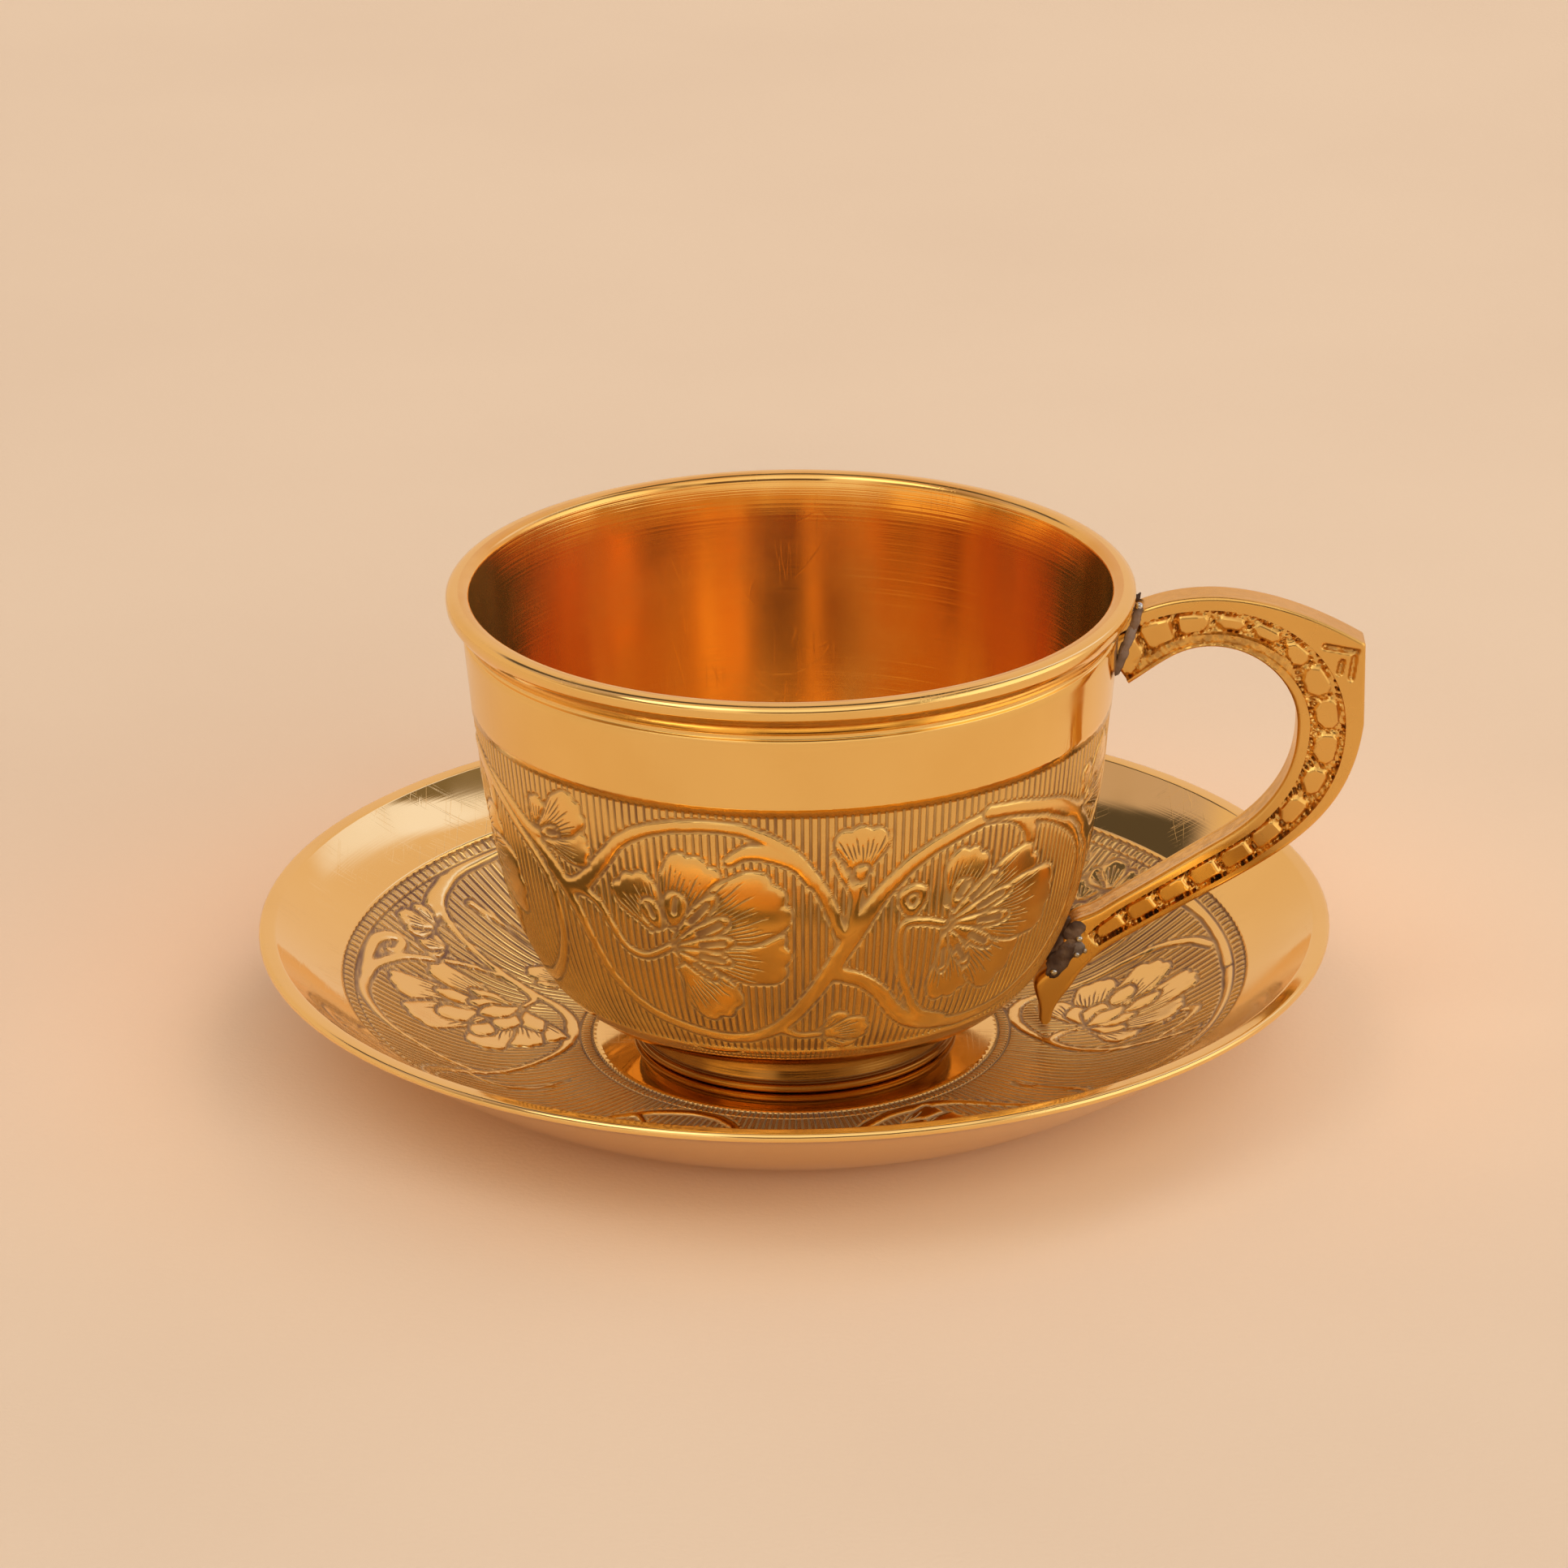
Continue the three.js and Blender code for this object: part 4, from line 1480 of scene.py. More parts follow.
    @staticmethod
    def _vine() -> Vine:
        """The swinging vine with the loops, stems and hooks that grow from it.

        Returns:
            The vine.
        """
        swing = Stroke(((-83, -3), (-71, -4.5), (-62, -6.4), (-53.3, -9.9), (-48.3, -12.9), (-45, -16.8),
            (-41.3, -21.9), (-36.8, -26.4), (-30, -29.8), (-20, -32), (-11, -32.2), (-4, -30.2), (2, -25.9),
            (6.7, -21.2), (10.4, -17.3), (14.7, -12.6), (19.1, -8.9), (25.2, -6), (37, -3.3)),
            (1.9, 2.1, 1.5, 2, 2.3, 1.9))
        over = Stroke(((-51, -12), (-47.4, -13.7), (-43.6, -13.2), (-40, -11.2), (-35.9, -8.2),
            (-31.9, -5.3), (-25, -2.9), (-15.7, -1.7), (-8.5, -2), (-1.5, -4.4), (2.8, -7.8), (5.8, -11.2),
            (8.8, -16.2)), (1.9, 2.4, 1.7, 1.6, 1.8, 1.6))
        over_stem = Stroke(((-43.4, -13.4), (-39.4, -14.6), (-36.8, -17.2), (-33.8, -19.8), (-29.5, -20.6),
            (-24.2, -18.8)), (1.6, 1.2, 1))
        over_hook = Stroke(((3, -8.6), (0.6, -6.4), (-4, -5), (-8.6, -4.9), (-11.6, -6.2)), (1.6, 2.4, 1.4))
        stalk = Stroke(((10.4, -17.4), (11.2, -12.4), (12, -8.2)), (1.4, 1.5))
        blade = Stroke(((7, -5.4), (8.4, -7.6), (10.9, -10.8)), (0.7, 1.2, 0.8))
        sprout = Stroke(((-3.4, -30), (0.4, -31.4), (5, -31.3)), (1.3, 1))
        pink_stem = Stroke(((-66, -6), (-60, -7.9), (-53.2, -8.2)), (1.3, 1.2))
        under = Stroke(((8, -21.6), (13.2, -23), (17, -25.2), (20.8, -28.6), (28, -31.8), (38, -33),
            (49, -32.4), (60, -29.3), (67.5, -24), (69.5, -18), (66, -12.6), (58.8, -8.8), (50, -5.6),
            (41, -3.6)), (2, 2.4, 1.9, 1.5, 1.9))
        under_stem = Stroke(((33, -31.8), (26.5, -29.6), (23.2, -26.3), (21, -22.4), (20, -18.8),
            (20.8, -15.8), (24.5, -15.6), (29, -16.6)), (1.6, 1.2, 1))
        under_hook = Stroke(((38, -3.6), (44, -4.8), (48, -7.4), (47.4, -10.4), (43.6, -11.2)),
            (1.8, 2.4, 1))
        return Vine((swing, over, over_stem, over_hook, stalk, blade, sprout, pink_stem, under, under_stem,
                     under_hook))

    def chasing(self, columns: Array, rows: Array) -> Chasing:
        """Six flowers in a swinging vine that goes round three times up and down.

        Args:
            columns: angles of the columns, in radians.
            rows: profile of the ornament.

        Returns:
            The ornament.
        """
        below = travelled(rows)[-1] - travelled(rows)
        chasing = Chasing(columns, -below, self.reference)
        for turn in (0.0, 120.0, 240.0):
            for motif in (self._vine(), *self._upper(), *self._lower()):
                chasing.paint(motif, turn)
        return chasing

    def build(self, effects: Effects) -> None:
        """Makes the shell and dresses it.

        Args:
            effects: the shared shader groups.
        """
        columns, furrow = furrow_columns(self.lines, share=0.24, seed=5)
        plain, rows = self.bottom()
        chasing = self.chasing(columns, rows)
        coarse = even_columns(self.lines // 2)
        top = self.top()
        # Inside the cup: stronger lathe rings, which also mask the painted streaks, and a little less metal
        # with a painted darker colour.
        inside = (np.arange(len(top)) > np.argmax(top[:, 1]))[:, None]
        runs = [Run(plain, coarse),
                Run(rows, columns, chasing.lift(furrow, ground_drop=0.1, line_drop=0.16, furrow_drop=0.22),
                    chasing.values()),
                Run(top, coarse,
                    values={"rings": np.where(inside, 0.55, PLAIN["rings"]), "satin_and_shade": 0.17 * inside})]
        finish = ChasedBrass("bowl_brass", bright=(0.93, 0.63, 0.22, 1.0), dull=(0.88, 0.57, 0.18, 1.0),
                             dark=(0.24, 0.115, 0.04, 1.0), gloss=(0.05, 0.2), rough=0.45, metal=0.5,
                             lines=self.lines, patina=0.2)
        shell = turned(runs, PLAIN, self.base, self.inner_floor)
        piece = make_piece("cup_shell", shell, finish.material(effects))
        seat(piece, Body.CUP, "cup_bowl")


@dataclass
class Foot:
    """Turned ring under the bowl, and the braze in its inner corner. Sizes in mm."""

    inner: float = 16.5
    low: float = 1.5
    high: float = 6.2
    bead: float = 19.7
    columns: int = 144

    def profile(self) -> Array:
        """Closed profile: flat foot, round bead, two fine grooves, flare up to the bowl, inside.

        Returns:
            Radius and height of each row.
        """
        turn = np.linspace(-0.5 * math.pi, 0.42 * math.pi, 10)[:, None]
        bead = np.array([self.bead - 0.58, 2.1]) + 0.58 * np.hstack([np.cos(turn), np.sin(turn)])
        grooves = np.array([[19.12, 2.74], [19.1, 2.8], [19.22, 2.88], [19.24, 2.96], [19.12, 3.02],
                            [19.1, 3.08], [19.18, 3.14]])
        flare = bezier(((19.14, 3.25), (18.85, 4.0), (18.5, 4.6), (18.6, 5.3)), 9)
        neck = bezier(((18.62, 5.4), (18.7, 5.8), (18.9, 6.0), (19.1, 6.15)), 5)
        top = np.array([[19.0, self.high], [17.0, self.high], [self.inner + 0.1, self.high - 0.05]])
        inside = np.array([[self.inner, self.high - 0.2], [self.inner, 4.0], [self.inner, 1.9]])
        foot = np.array([[self.inner + 0.12, 1.62], [self.inner + 0.4, self.low], [18.6, self.low]])
        return np.vstack([bead, grooves, flare, neck, top, inside, foot])

    def build(self, effects: Effects) -> None:
        """Makes the ring and dresses it.

        Args:
            effects: the shared shader groups.
        """
        columns = even_columns(self.columns)
        profile = self.profile()
        heights, shades = [2.6, 2.8, 2.88, 2.96, 3.05, 3.2, 5.4, 5.9], [0, 1, 0.2, 0.2, 1, 0, 0, 0.5]
        hollow = np.interp(profile[:, 1], heights, shades)
        hollow[profile[:, 0] < 18.4] = 0.5
        run = Run(profile, columns, values={"hollow": hollow[:, None]})
        # Painted shade: the ring's colours are made far darker than the bowl's, for the shade and dark
        # reflections under the bowl.
        finish = TurnedBrass("foot_brass_painted_shade", bright=(0.36, 0.17, 0.035, 1.0), dull=(0.3, 0.14, 0.03, 1.0),
                             dark=(0.13, 0.06, 0.02, 1.0), gloss=(0.14, 0.26), rough=0.42, metal=0.5)
        ring = make_piece("foot_turned", turned([run], {"hollow": 0.0}), finish.material(effects), 50.0)
        seat(ring, Body.CUP, "foot_ring")

    def fillet(self, material: Material) -> None:
        """Makes the lumpy fillet of braze between the ring's inside and the bowl.

        Args:
            material: finish of the braze.
        """
        turn = np.linspace(0.0, TURN, 14, endpoint=False)[:, None]
        profile = np.array([15.75, 5.45]) + (0.75, 0.7) * np.hstack([np.cos(turn), np.sin(turn)])
        columns = even_columns(90)
        place = np.stack(np.broadcast_arrays(
            15.0 * np.sin(columns)[None], 15.0 * np.cos(columns)[None], 3.0 * turn), axis=-1)
        run = Run(profile, columns, 0.2 * ripple(21, place, 6.0) - 0.1)
        piece = make_piece("foot_fillet", turned([run], {"bead": 0.0}), material)
        seat(piece, Body.CUP, "foot_braze")


@dataclass
class Handle:
    """Cast side handle: a flat bar with a beaded channel on both faces, a spur and a tail. Sizes in mm.

    Attributes:
        bowl: the shell that it is brazed to.
        stations: x, z, heading in degrees and half depth along the middle, from the upper root.
        borders: width of the inner and of the outer border at each station.
        root_from: height from which the upper root is cut.
        root_cut: x of that cut, the height below which it slants, and how far it goes out for each mm.
        sunk: how far the bar reaches into the bowl.
        swellings: station, size and spread of the lower boss and of the tail's bulge.
        scars: straight marks of the mould on the spur, as x, z, x, z.
    """

    bowl: Bowl
    stations: tuple[Quad, ...] = (
        (38.3, 50.2, 34.0, 3.8), (50.2, 54.8, 0.0, 3.15), (64.5, 41.5, -90.0, 3.8),
        (52.7, 24.25, -149.0, 2.6), (41.1, 17.3, -149.0, 2.4), (32.6, 8.9, -117.0, 1.7),
        (30.55, 3.35, -97.0, 0.75))
    pull: float = 0.38
    thickness: float = 4.4
    borders: tuple[Pair, ...] = (
        (0.5, 1.4), (0.6, 1.6), (1.5, 1.8), (1.2, 0.9), (1.1, 0.8), (1.2, 1.0), (0.8, 0.8))
    root_from: float = 40.0
    root_cut: Triple = (39.0, 49.0, 0.55)
    sunk: float = 0.55
    tail_top: float = 6.5
    swellings: tuple[Triple, ...] = ((4.55, 1.3, 0.2), (5.35, 1.3, 0.32))
    channel: float = 0.76
    ledge: float = 1.0
    channel_start: float = -0.2
    channel_past_bend: float = 5.5
    beads: int = 17
    bead_share: float = 0.94
    spur: Pair = (68.7, 51.8)
    spur_from: float = 0.1
    spur_to: float = 1.25
    scars: tuple[Quad, ...] = (
        (63.8, 51.6, 67.7, 50.8), (67.4, 50.2, 67.0, 47.5), (65.9, 49.6, 65.6, 48.2))
    rows: int = 470
    span_points: int = 200
    tail_points: int = 16
    tail_rows: int = 12

    def middle(self) -> tuple[Array, Array, Array, Array]:
        """Middle line: cubic spans between stations, in even rows that close up on the round tail.

        Returns:
            Points, unit outward normals, half depths and the station count passed, at each row.
        """
        spans, passed = [], []
        for number, (here, there) in enumerate(zip(self.stations[:-1], self.stations[1:])):
            start, end = np.array(here[:2]), np.array(there[:2])
            reach = self.pull * np.linalg.norm(end - start)
            leave, arrive = math.radians(here[2]), math.radians(there[2])
            first = start + reach * np.array([math.cos(leave), math.sin(leave)])
            second = end - reach * np.array([math.cos(arrive), math.sin(arrive)])
            spans.append(bezier((start, first, second, end), self.span_points)[:-1])
            passed.append(number + np.linspace(0.0, 1.0, self.span_points)[:-1])
        tail_x, tail_z, _, tail_half = self.stations[-1]
        drop = np.linspace(0.0, 0.975 * tail_half, self.tail_points)
        line = np.vstack([*spans, np.stack([np.full(self.tail_points, tail_x), tail_z - drop], axis=1)])
        count = np.concatenate([*passed, np.full(self.tail_points, len(self.stations) - 1.0)])
        length = travelled(line)
        bar, whole = length[-self.tail_points], length[-1]
        closing = np.sin(np.linspace(0.0, 0.5, self.tail_rows) * math.pi)
        stops = np.concatenate([np.linspace(0.0, bar, self.rows - self.tail_rows, endpoint=False),
                                bar + (whole - bar) * closing])
        points = respaced(line, stops / whole)
        count = np.interp(stops, length, count)
        half = np.array([station[3] for station in self.stations])
        before = np.minimum(count.astype(int), len(half) - 2)
        depth = half[before] + (half[before + 1] - half[before]) * smooth(0.0, 1.0, count - before)
        over = np.maximum(stops - bar, 0.0)
        depth = np.where(over > 0.0, np.sqrt(np.maximum(tail_half**2 - over**2, 0.09)), depth)
        slope = unit(np.gradient(points, stops, axis=0))
        return points, np.stack([-slope[:, 1], slope[:, 0]], axis=1), depth, count

    def edges(self, points: Array, normal: Array, depth: Array, count: Array) -> tuple[Array, Array]:
        """Outer edge with the spur, two bent curves to its tip, and inner edge with bell-shaped swellings.

        Args:
            points: middle of the bar.
            normal: outward normals.
            depth: half depths.
            count: stations passed.

        Returns:
            Both edges in the bar's plane, outer and inner.
        """
        outer = points + depth[:, None] * normal
        share = count - 1.0
        spur = (share > self.spur_from) & (share < self.spur_to)
        first, last = np.flatnonzero(spur)[[0, -1]]
        leave, arrive, tip = outer[first - 1], outer[last + 1], np.array(self.spur)
        split = 0.5 * (self.spur_from + self.spur_to)
        rise = np.clip((share - self.spur_from) / (split - self.spur_from), 0.0, 1.0)[:, None]
        fall = np.clip((share - split) / (self.spur_to - split), 0.0, 1.0)[:, None]
        bend_in = leave + 0.45 * np.linalg.norm(tip - leave) * unit(leave - outer[first - 4])
        bend_out = arrive - 0.4 * np.linalg.norm(tip - arrive) * unit(outer[last + 4] - arrive)
        up, down = bent(rise, leave, bend_in, tip), bent(fall, tip, bend_out, arrive)
        outer = np.where(spur[:, None], np.where(share[:, None] < split, up, down), outer)
        outer[:, 0] = np.minimum(outer[:, 0], tip[0])
        swell = sum(size * np.exp(-((count - station) / spread)**2)
                    for station, size, spread in self.swellings)
        return outer, points - (depth + swell)[:, None] * normal

    @staticmethod
    def columns() -> Array:
        """Places across a face, from the inner edge to the outer one.

        Returns:
            Zone of each place, which counts from 0 at the inner edge through 1 where the edge's
            rounding ends, 2 and 3 at the top and foot of the channel's wall, 4 and 5 at the foot and top
            of the other wall, 6 where rounding starts again, to 7 at the outer edge.
        """
        return np.concatenate([[0.0, 0.06, 0.25, 0.55, 1.0, 1.5, 2.0], 3.0 + np.arange(20) / 19.0,
                               5.0 + np.arange(17) / 16.0, [6.45, 6.75, 6.94, 7.0]])

    def face(self) -> tuple[Array, Array, Array, Array]:
        """One face of the bar: a height over the bar's plane that follows the channel and its beads.

        Returns:
            Places in the plane, heights over it, how hollow and how rough-cast each place is.
        """
        points, normal, depth, count = self.middle()
        outer, inner = self.edges(points, normal, depth, count)
        zone = self.columns()
        rounding = 0.45 + 0.7 * smooth(4.7, 5.2, count)
        widths = np.array(self.borders)
        rim_in, rim_out = (np.minimum(np.interp(count, np.arange(len(widths)), widths[:, i]), 0.6 * depth)
                           for i in range(2))
        inner_gap = np.einsum("ij,ij->i", points - inner, normal)
        outer_gap = np.einsum("ij,ij->i", outer - points, normal)
        turn_in = np.minimum(rounding, 0.8 * rim_in)
        turn_out = np.minimum(rounding, 0.8 * rim_out)
        low, high = rim_in - depth, depth - rim_out
        wall = np.minimum(0.12, 0.4 * np.minimum(-low, high))
        marks = np.stack([-inner_gap, turn_in - inner_gap, low, low + wall, high - wall, high,
                          outer_gap - turn_out, outer_gap], axis=1)
        step = np.minimum(zone.astype(int), 6)
        place = marks[:, step] + (marks[:, step + 1] - marks[:, step]) * (zone - step)
        brink = points + high[:, None] * normal
        spread = (place - high[:, None]) / np.maximum(outer_gap - high, 0.01)[:, None]
        border = brink[:, None] + spread[..., None] * (outer - brink)[:, None]
        spot = points[:, None] + place[..., None] * normal[:, None]
        spot = np.where((zone > 5.0)[None, :, None], border, spot)
        near, far = place + inner_gap[:, None], outer_gap[:, None] - place
        corner = np.where(near < far, turn_in[:, None], turn_out[:, None])
        turn = np.clip(np.minimum(near, far) / corner, 0.0, 1.0)
        flat = (np.sqrt(1.0 - (1.0 - turn)**2) - 1.0) * np.minimum(rounding[:, None], 1.6 * corner)
        crest = smooth(0.05, 0.25, count) * smooth(1.75, 1.35, count)
        dip, hollow = self._channel(points, place, (low + wall, high - wall), count, zone, self.ledge * crest)
        scar = self._scarred(spot)
        band = smooth(3.32, 3.2, zone) * smooth(0.4, 0.9, zone)
        cast = np.clip(hollow + scar + crest[:, None] * band[None], 0.0, 1.0)
        grain = ripple(41, np.concatenate([spot, dip[..., None]], axis=-1), 1.5, 7)
        dip = dip + 0.35 * scar + 0.12 * cast * grain
        return spot, 0.5 * self.thickness + flat - dip, np.clip(hollow + 0.6 * scar, 0.0, 1.0), cast

    def _scarred(self, spot: Array) -> Array:
        """Marks of the mould: a smooth step down by the distance to the nearest of a few straight pieces.

        Args:
            spot: places in the bar's plane.

        Returns:
            How deep in a mark each place lies, from 0 to 1.
        """
        gap = np.full(spot.shape[:2], 9.0)
        for x, z, end_x, end_z in self.scars:
            start, reach = np.array([x, z]), np.array([end_x - x, end_z - z])
            share = np.clip((spot - start) @ reach / (reach @ reach), 0.0, 1.0)
            gap = np.minimum(gap, np.linalg.norm(spot - start - share[..., None] * reach, axis=-1))
        return smooth(0.5, 0.12, gap)

    def _channel(self, points: Array, place: Array, feet: tuple[Array, Array], count: Array,
                 zone: Array, ledge: Array) -> tuple[Array, Array]:
        """Depth of the channel, less its beads: flat-topped blocks with cut corners, each a little tilted.

        A bead's height is the least of its tilted top and of the distances from its four sides and its
        corners, each over the width of that bevel.

        Args:
            points: middle of the bar.
            place: places across it, in mm from the middle.
            feet: foot of the channel's inner wall and of its outer wall, across the bar.
            count: stations passed.
            zone: zone of each place.
            ledge: width of the half-raised ledge along the inner wall.

        Returns:
            How far each place lies below the face in mm, and how hollow it is.
        """
        run = travelled(points)
        end = np.interp(4.0, count, run) + self.channel_past_bend
        pitch = (end - self.channel_start) / self.beads
        number = (run - self.channel_start) / pitch
        bead = np.clip(np.floor(number), 0, self.beads - 1).astype(int)
        draw = np.random.default_rng(8)
        tilt_along, tilt_across = draw.uniform(-0.16, 0.16, (2, self.beads))[:, bead, None]
        reach = 0.5 * self.bead_share * pitch * draw.uniform(0.93, 1.05, self.beads)[bead, None]
        along = ((number - bead - 0.5) * pitch)[:, None]
        half = np.maximum(0.5 * (feet[1] - feet[0]), 0.05)[:, None]
        across = place - 0.5 * (feet[0] + feet[1])[:, None]
        ahead, behind = reach - along, reach + along
        arc = (smooth(0.7, 1.1, count) * smooth(2.9, 2.3, count))[:, None]
        beyond, short = half - across - 0.3 * arc, half + across - ledge[:, None] - 0.35 * arc
        lead = 0.65 - 0.3 * smooth(1.4, 2.4, count)[:, None]
        corner = np.minimum(ahead, behind) + np.minimum(beyond, short) - 0.5 - 0.5 * arc
        ends = np.minimum(ahead / lead, behind / (1.0 - lead))
        block = np.minimum(np.minimum(ends, corner / 0.7), np.minimum(beyond / 0.7, short / 0.35))
        top = 0.9 + tilt_along * along / reach + tilt_across * across / half
        rise = np.where((number < self.beads)[:, None], np.clip(np.minimum(block, top), 0.0, 1.0), 0.0)
        speck = ripple(43, np.stack(np.broadcast_arrays(run[:, None], place, 0.0), axis=-1), 1.2, 7)
        rise = np.maximum(rise, 0.6 * smooth(0.12, -0.12, short) * smooth(0.0, 0.5, ledge)[:, None])
        rise = np.maximum(rise, np.clip(0.18 + 0.12 * arc + 0.3 * speck, 0.0, 0.5))
        sunk = (smooth(2.0, 3.0, zone) * smooth(5.0, 4.0, zone))[None] * smooth(end + 0.9, end, run)[:, None]
        return sunk * self.channel * (1.0 - rise), sunk * (1.0 - smooth(0.02, 0.3, rise))

    @staticmethod
    def _edge(spot: Array, height: Array) -> Array:
        """Three places across an edge of the bar, from 0.6 of its height on one face to the other."""
        across = height[:, None] * np.array([0.6, 0.0, -0.6])
        return np.stack([np.repeat(spot[:, :1], 3, 1), across, np.repeat(spot[:, 1:], 3, 1)], axis=-1)

    def build(self, effects: Effects) -> None:
        """Makes the bar and dresses it: both faces joined round the inner and outer edges.

        Its roots are cut just inside the bowl, the upper one aslant.

        Args:
            effects: the shared shader groups.
        """
        spot, height, hollow, cast = self.face()
        near = np.stack([spot[..., 0], -height, spot[..., 1]], axis=-1)
        far = near[:, ::-1] * (1.0, -1.0, 1.0)
        outer, inner = self._edge(spot[:, -1], -height[:, -1]), self._edge(spot[:, 0], height[:, 0])
        grid = np.concatenate([near, outer, far, inner], axis=1)
        up = grid[..., 2]
        seat_radius = self.bowl.outline(up) - self.sunk
        reach = np.sqrt(np.maximum(seat_radius**2 - grid[..., 1]**2, 0.0))
        root_x, straight, slant = self.root_cut
        root = np.where(up > self.root_from, root_x + slant * np.maximum(straight - up, 0.0), 0.0)
        trimmed = np.maximum(grid[..., 0], np.maximum(reach, root))
        grid[..., 0] = np.where(up > self.tail_top, trimmed, grid[..., 0])
        plain = np.zeros((len(spot), 3))
        # Painted shade: below 36 mm the bar's inner edge counts as partly hollow, so that it is coloured
        # darker in patches and made rougher.
        under = plain + 0.35 * smooth(36.0, 28.0, spot[:, :1, 1])
        values = {"hollow": np.concatenate([hollow, plain, hollow[:, ::-1], under], axis=1),
                  "cast": np.concatenate([cast, plain + 0.15, cast[:, ::-1], plain + under + 0.15], axis=1)}
        finish = CastBrass("handle_brass", bright=(0.83, 0.50, 0.14, 1.0), dull=(0.77, 0.45, 0.12, 1.0),
                           dark=(0.32, 0.17, 0.06, 1.0), gloss=(0.2, 0.32), rough=0.42, metal=0.9)
        surface = tube(grid, values, (0.0, 0.0, 1.0, 1.0))
        piece = make_piece("handle_bar", surface, finish.material(effects), crease=38.0)
        seat(piece, Body.CUP, "handle")


@dataclass(frozen=True)
class Lump:
    """One lump of braze. Sizes in mm.

    Attributes:
        centre: its middle.
        half: half sizes along its own axes.
        seed: picks its waves.
        bead: 1 for a bright bead and 0 for crust.
        rough: size of the waves, as a share of the radius.
        lean: degrees that it leans from upright towards +X.
        steps: rows from end to end.
    """

    centre: Triple
    half: Triple
    seed: int
    bead: float = 0.0
    rough: float = 0.2
    lean: float = 0.0
    steps: int = 18

    def surface(self, cell: int) -> Surface:
        """An ellipsoid by height and turn, its radius made uneven by seeded waves.

        Args:
            cell: which of the sixteen cells of the map it takes.

        Returns:
            The closed surface.
        """
        height = -np.cos(np.linspace(0.06, 0.94, self.steps) * math.pi)[:, None]
        turn = np.linspace(0.0, TURN, 2 * self.steps, endpoint=False)[None]
        radius = np.sqrt(1.0 - height**2)
        ball = np.stack(np.broadcast_arrays(radius * np.cos(turn), radius * np.sin(turn), height), axis=-1)
        ball = ball * (1.0 + self.rough * ripple(self.seed, ball * np.array(self.half), 2.6))[..., None]
        x, y, z = np.moveaxis(ball * np.array(self.half), -1, 0)
        cos, sin = math.cos(math.radians(self.lean)), math.sin(math.radians(self.lean))
        grid = np.stack([x * cos + z * sin, y, z * cos - x * sin], axis=-1)
        low_u, low_v = 0.25 * (cell % 4), 0.25 * (cell // 4)
        return tube(grid + np.array(self.centre), {"bead": np.full(grid.shape[:2], self.bead)},
                    (low_u, low_v, low_u + 0.24, low_v + 0.24))


@dataclass
class Seams:
    """Lumpy braze where the handle meets the bowl. Sizes in mm.

    Attributes:
        upper_lean: degrees that the upper seam leans.
        lower_lean: degrees that the lower seam leans.
        beads: middle, half sizes, seed and brightness of each bead on the lower seam.
    """

    upper_lean: float = 18.6
    lower_lean: float = 34.0
    beads: tuple[tuple[tuple[float, ...], tuple[float, ...], int, float], ...] = (
        ((34.6, -2.35, 14.0), (0.5, 0.4, 0.45), 74, 1.0), ((34.3, -2.35, 11.9), (0.42, 0.35, 0.4), 75, 0.9),
        ((31.5, -2.25, 9.6), (0.5, 0.35, 0.42), 76, 1.0), ((35.3, -2.3, 12.4), (0.3, 0.3, 0.35), 77, 0.8),
        ((34.2, 2.35, 13.6), (0.5, 0.4, 0.45), 78, 1.0), ((33.0, 2.35, 11.3), (0.4, 0.35, 0.4), 79, 0.9))

    def upper(self) -> list[Lump]:
        """A pad behind the root, a bead and a run on top, and three drops down each face.

        Returns:
            The lumps.
        """
        lumps = [Lump((39.9, 0.0, 52.4), (0.7, 2.5, 4.3), 61, rough=0.12, lean=self.upper_lean, steps=26),
                 Lump((41.55, -1.9, 56.9), (0.5, 0.5, 0.5), 62, 1.0, 0.08, steps=10),
                 Lump((43.4, 0.2, 56.35), (2.0, 1.7, 0.3), 65, rough=0.1, lean=-22.0, steps=14)]
        for side, seed in ((-2.15, 69), (2.15, 73)):
            lumps += [Lump((39.4 + 0.85 * step, side, 50.2 + 2.45 * step), (0.62, 0.36, 2.3), seed + step,
                           0.1 * (step % 2), 0.24, self.upper_lean, 20) for step in range(3)]
        return lumps

    def lower(self) -> list[Lump]:
        """A pad behind the root, two smears on each face, a drop and bright beads.

        Returns:
            The lumps.
        """
        lumps = [Lump((32.4, 0.0, 13.2), (1.5, 2.2, 3.2), 71, rough=0.1, lean=self.lower_lean, steps=24)]
        lumps += [Lump((32.7, side, 11.7), (1.3, 0.3, 3.4), seed, lean=self.lower_lean)
                  for side, seed in ((-2.1, 72), (2.1, 73))]
        lumps += [Lump((34.0, side, 14.9), (1.1, 0.3, 1.5), seed, lean=50.0)
                  for side, seed in ((-2.15, 81), (2.15, 82))]
        lumps.append(Lump((34.4, -2.15, 12.6), (0.9, 0.25, 1.0), 83, 0.2, lean=20.0))
        return lumps + [Lump(*bead, rough=0.06, steps=10) for bead in self.beads]

    def build(self, material: Material) -> None:
        """Makes the upper and the lower seam and dresses them.

        Args:
            material: finish of the braze.
        """
        for name, lumps, node in (("upper_seam", self.upper(), "upper_braze"),
                                  ("lower_seam", self.lower(), "lower_braze")):
            whole = lumps[0].surface(0)
            for cell, lump in enumerate(lumps[1:], 1):
                whole = whole.joined(lump.surface(cell))
            seat(make_piece(name, whole, material), Body.CUP, node)


# Studio, with lengths in metres

DAYLIGHT = (1.0, 0.94, 0.87)
BRASS_LIGHT = (1.0, 0.38, 0.08)
AIM = (0.0, 0.0, 0.02)
FLOOR_GAP = 0.02 * MM


class LampKind(Enum):
    """Kinds of lamp."""

    AREA = "AREA"
    SUN = "SUN"


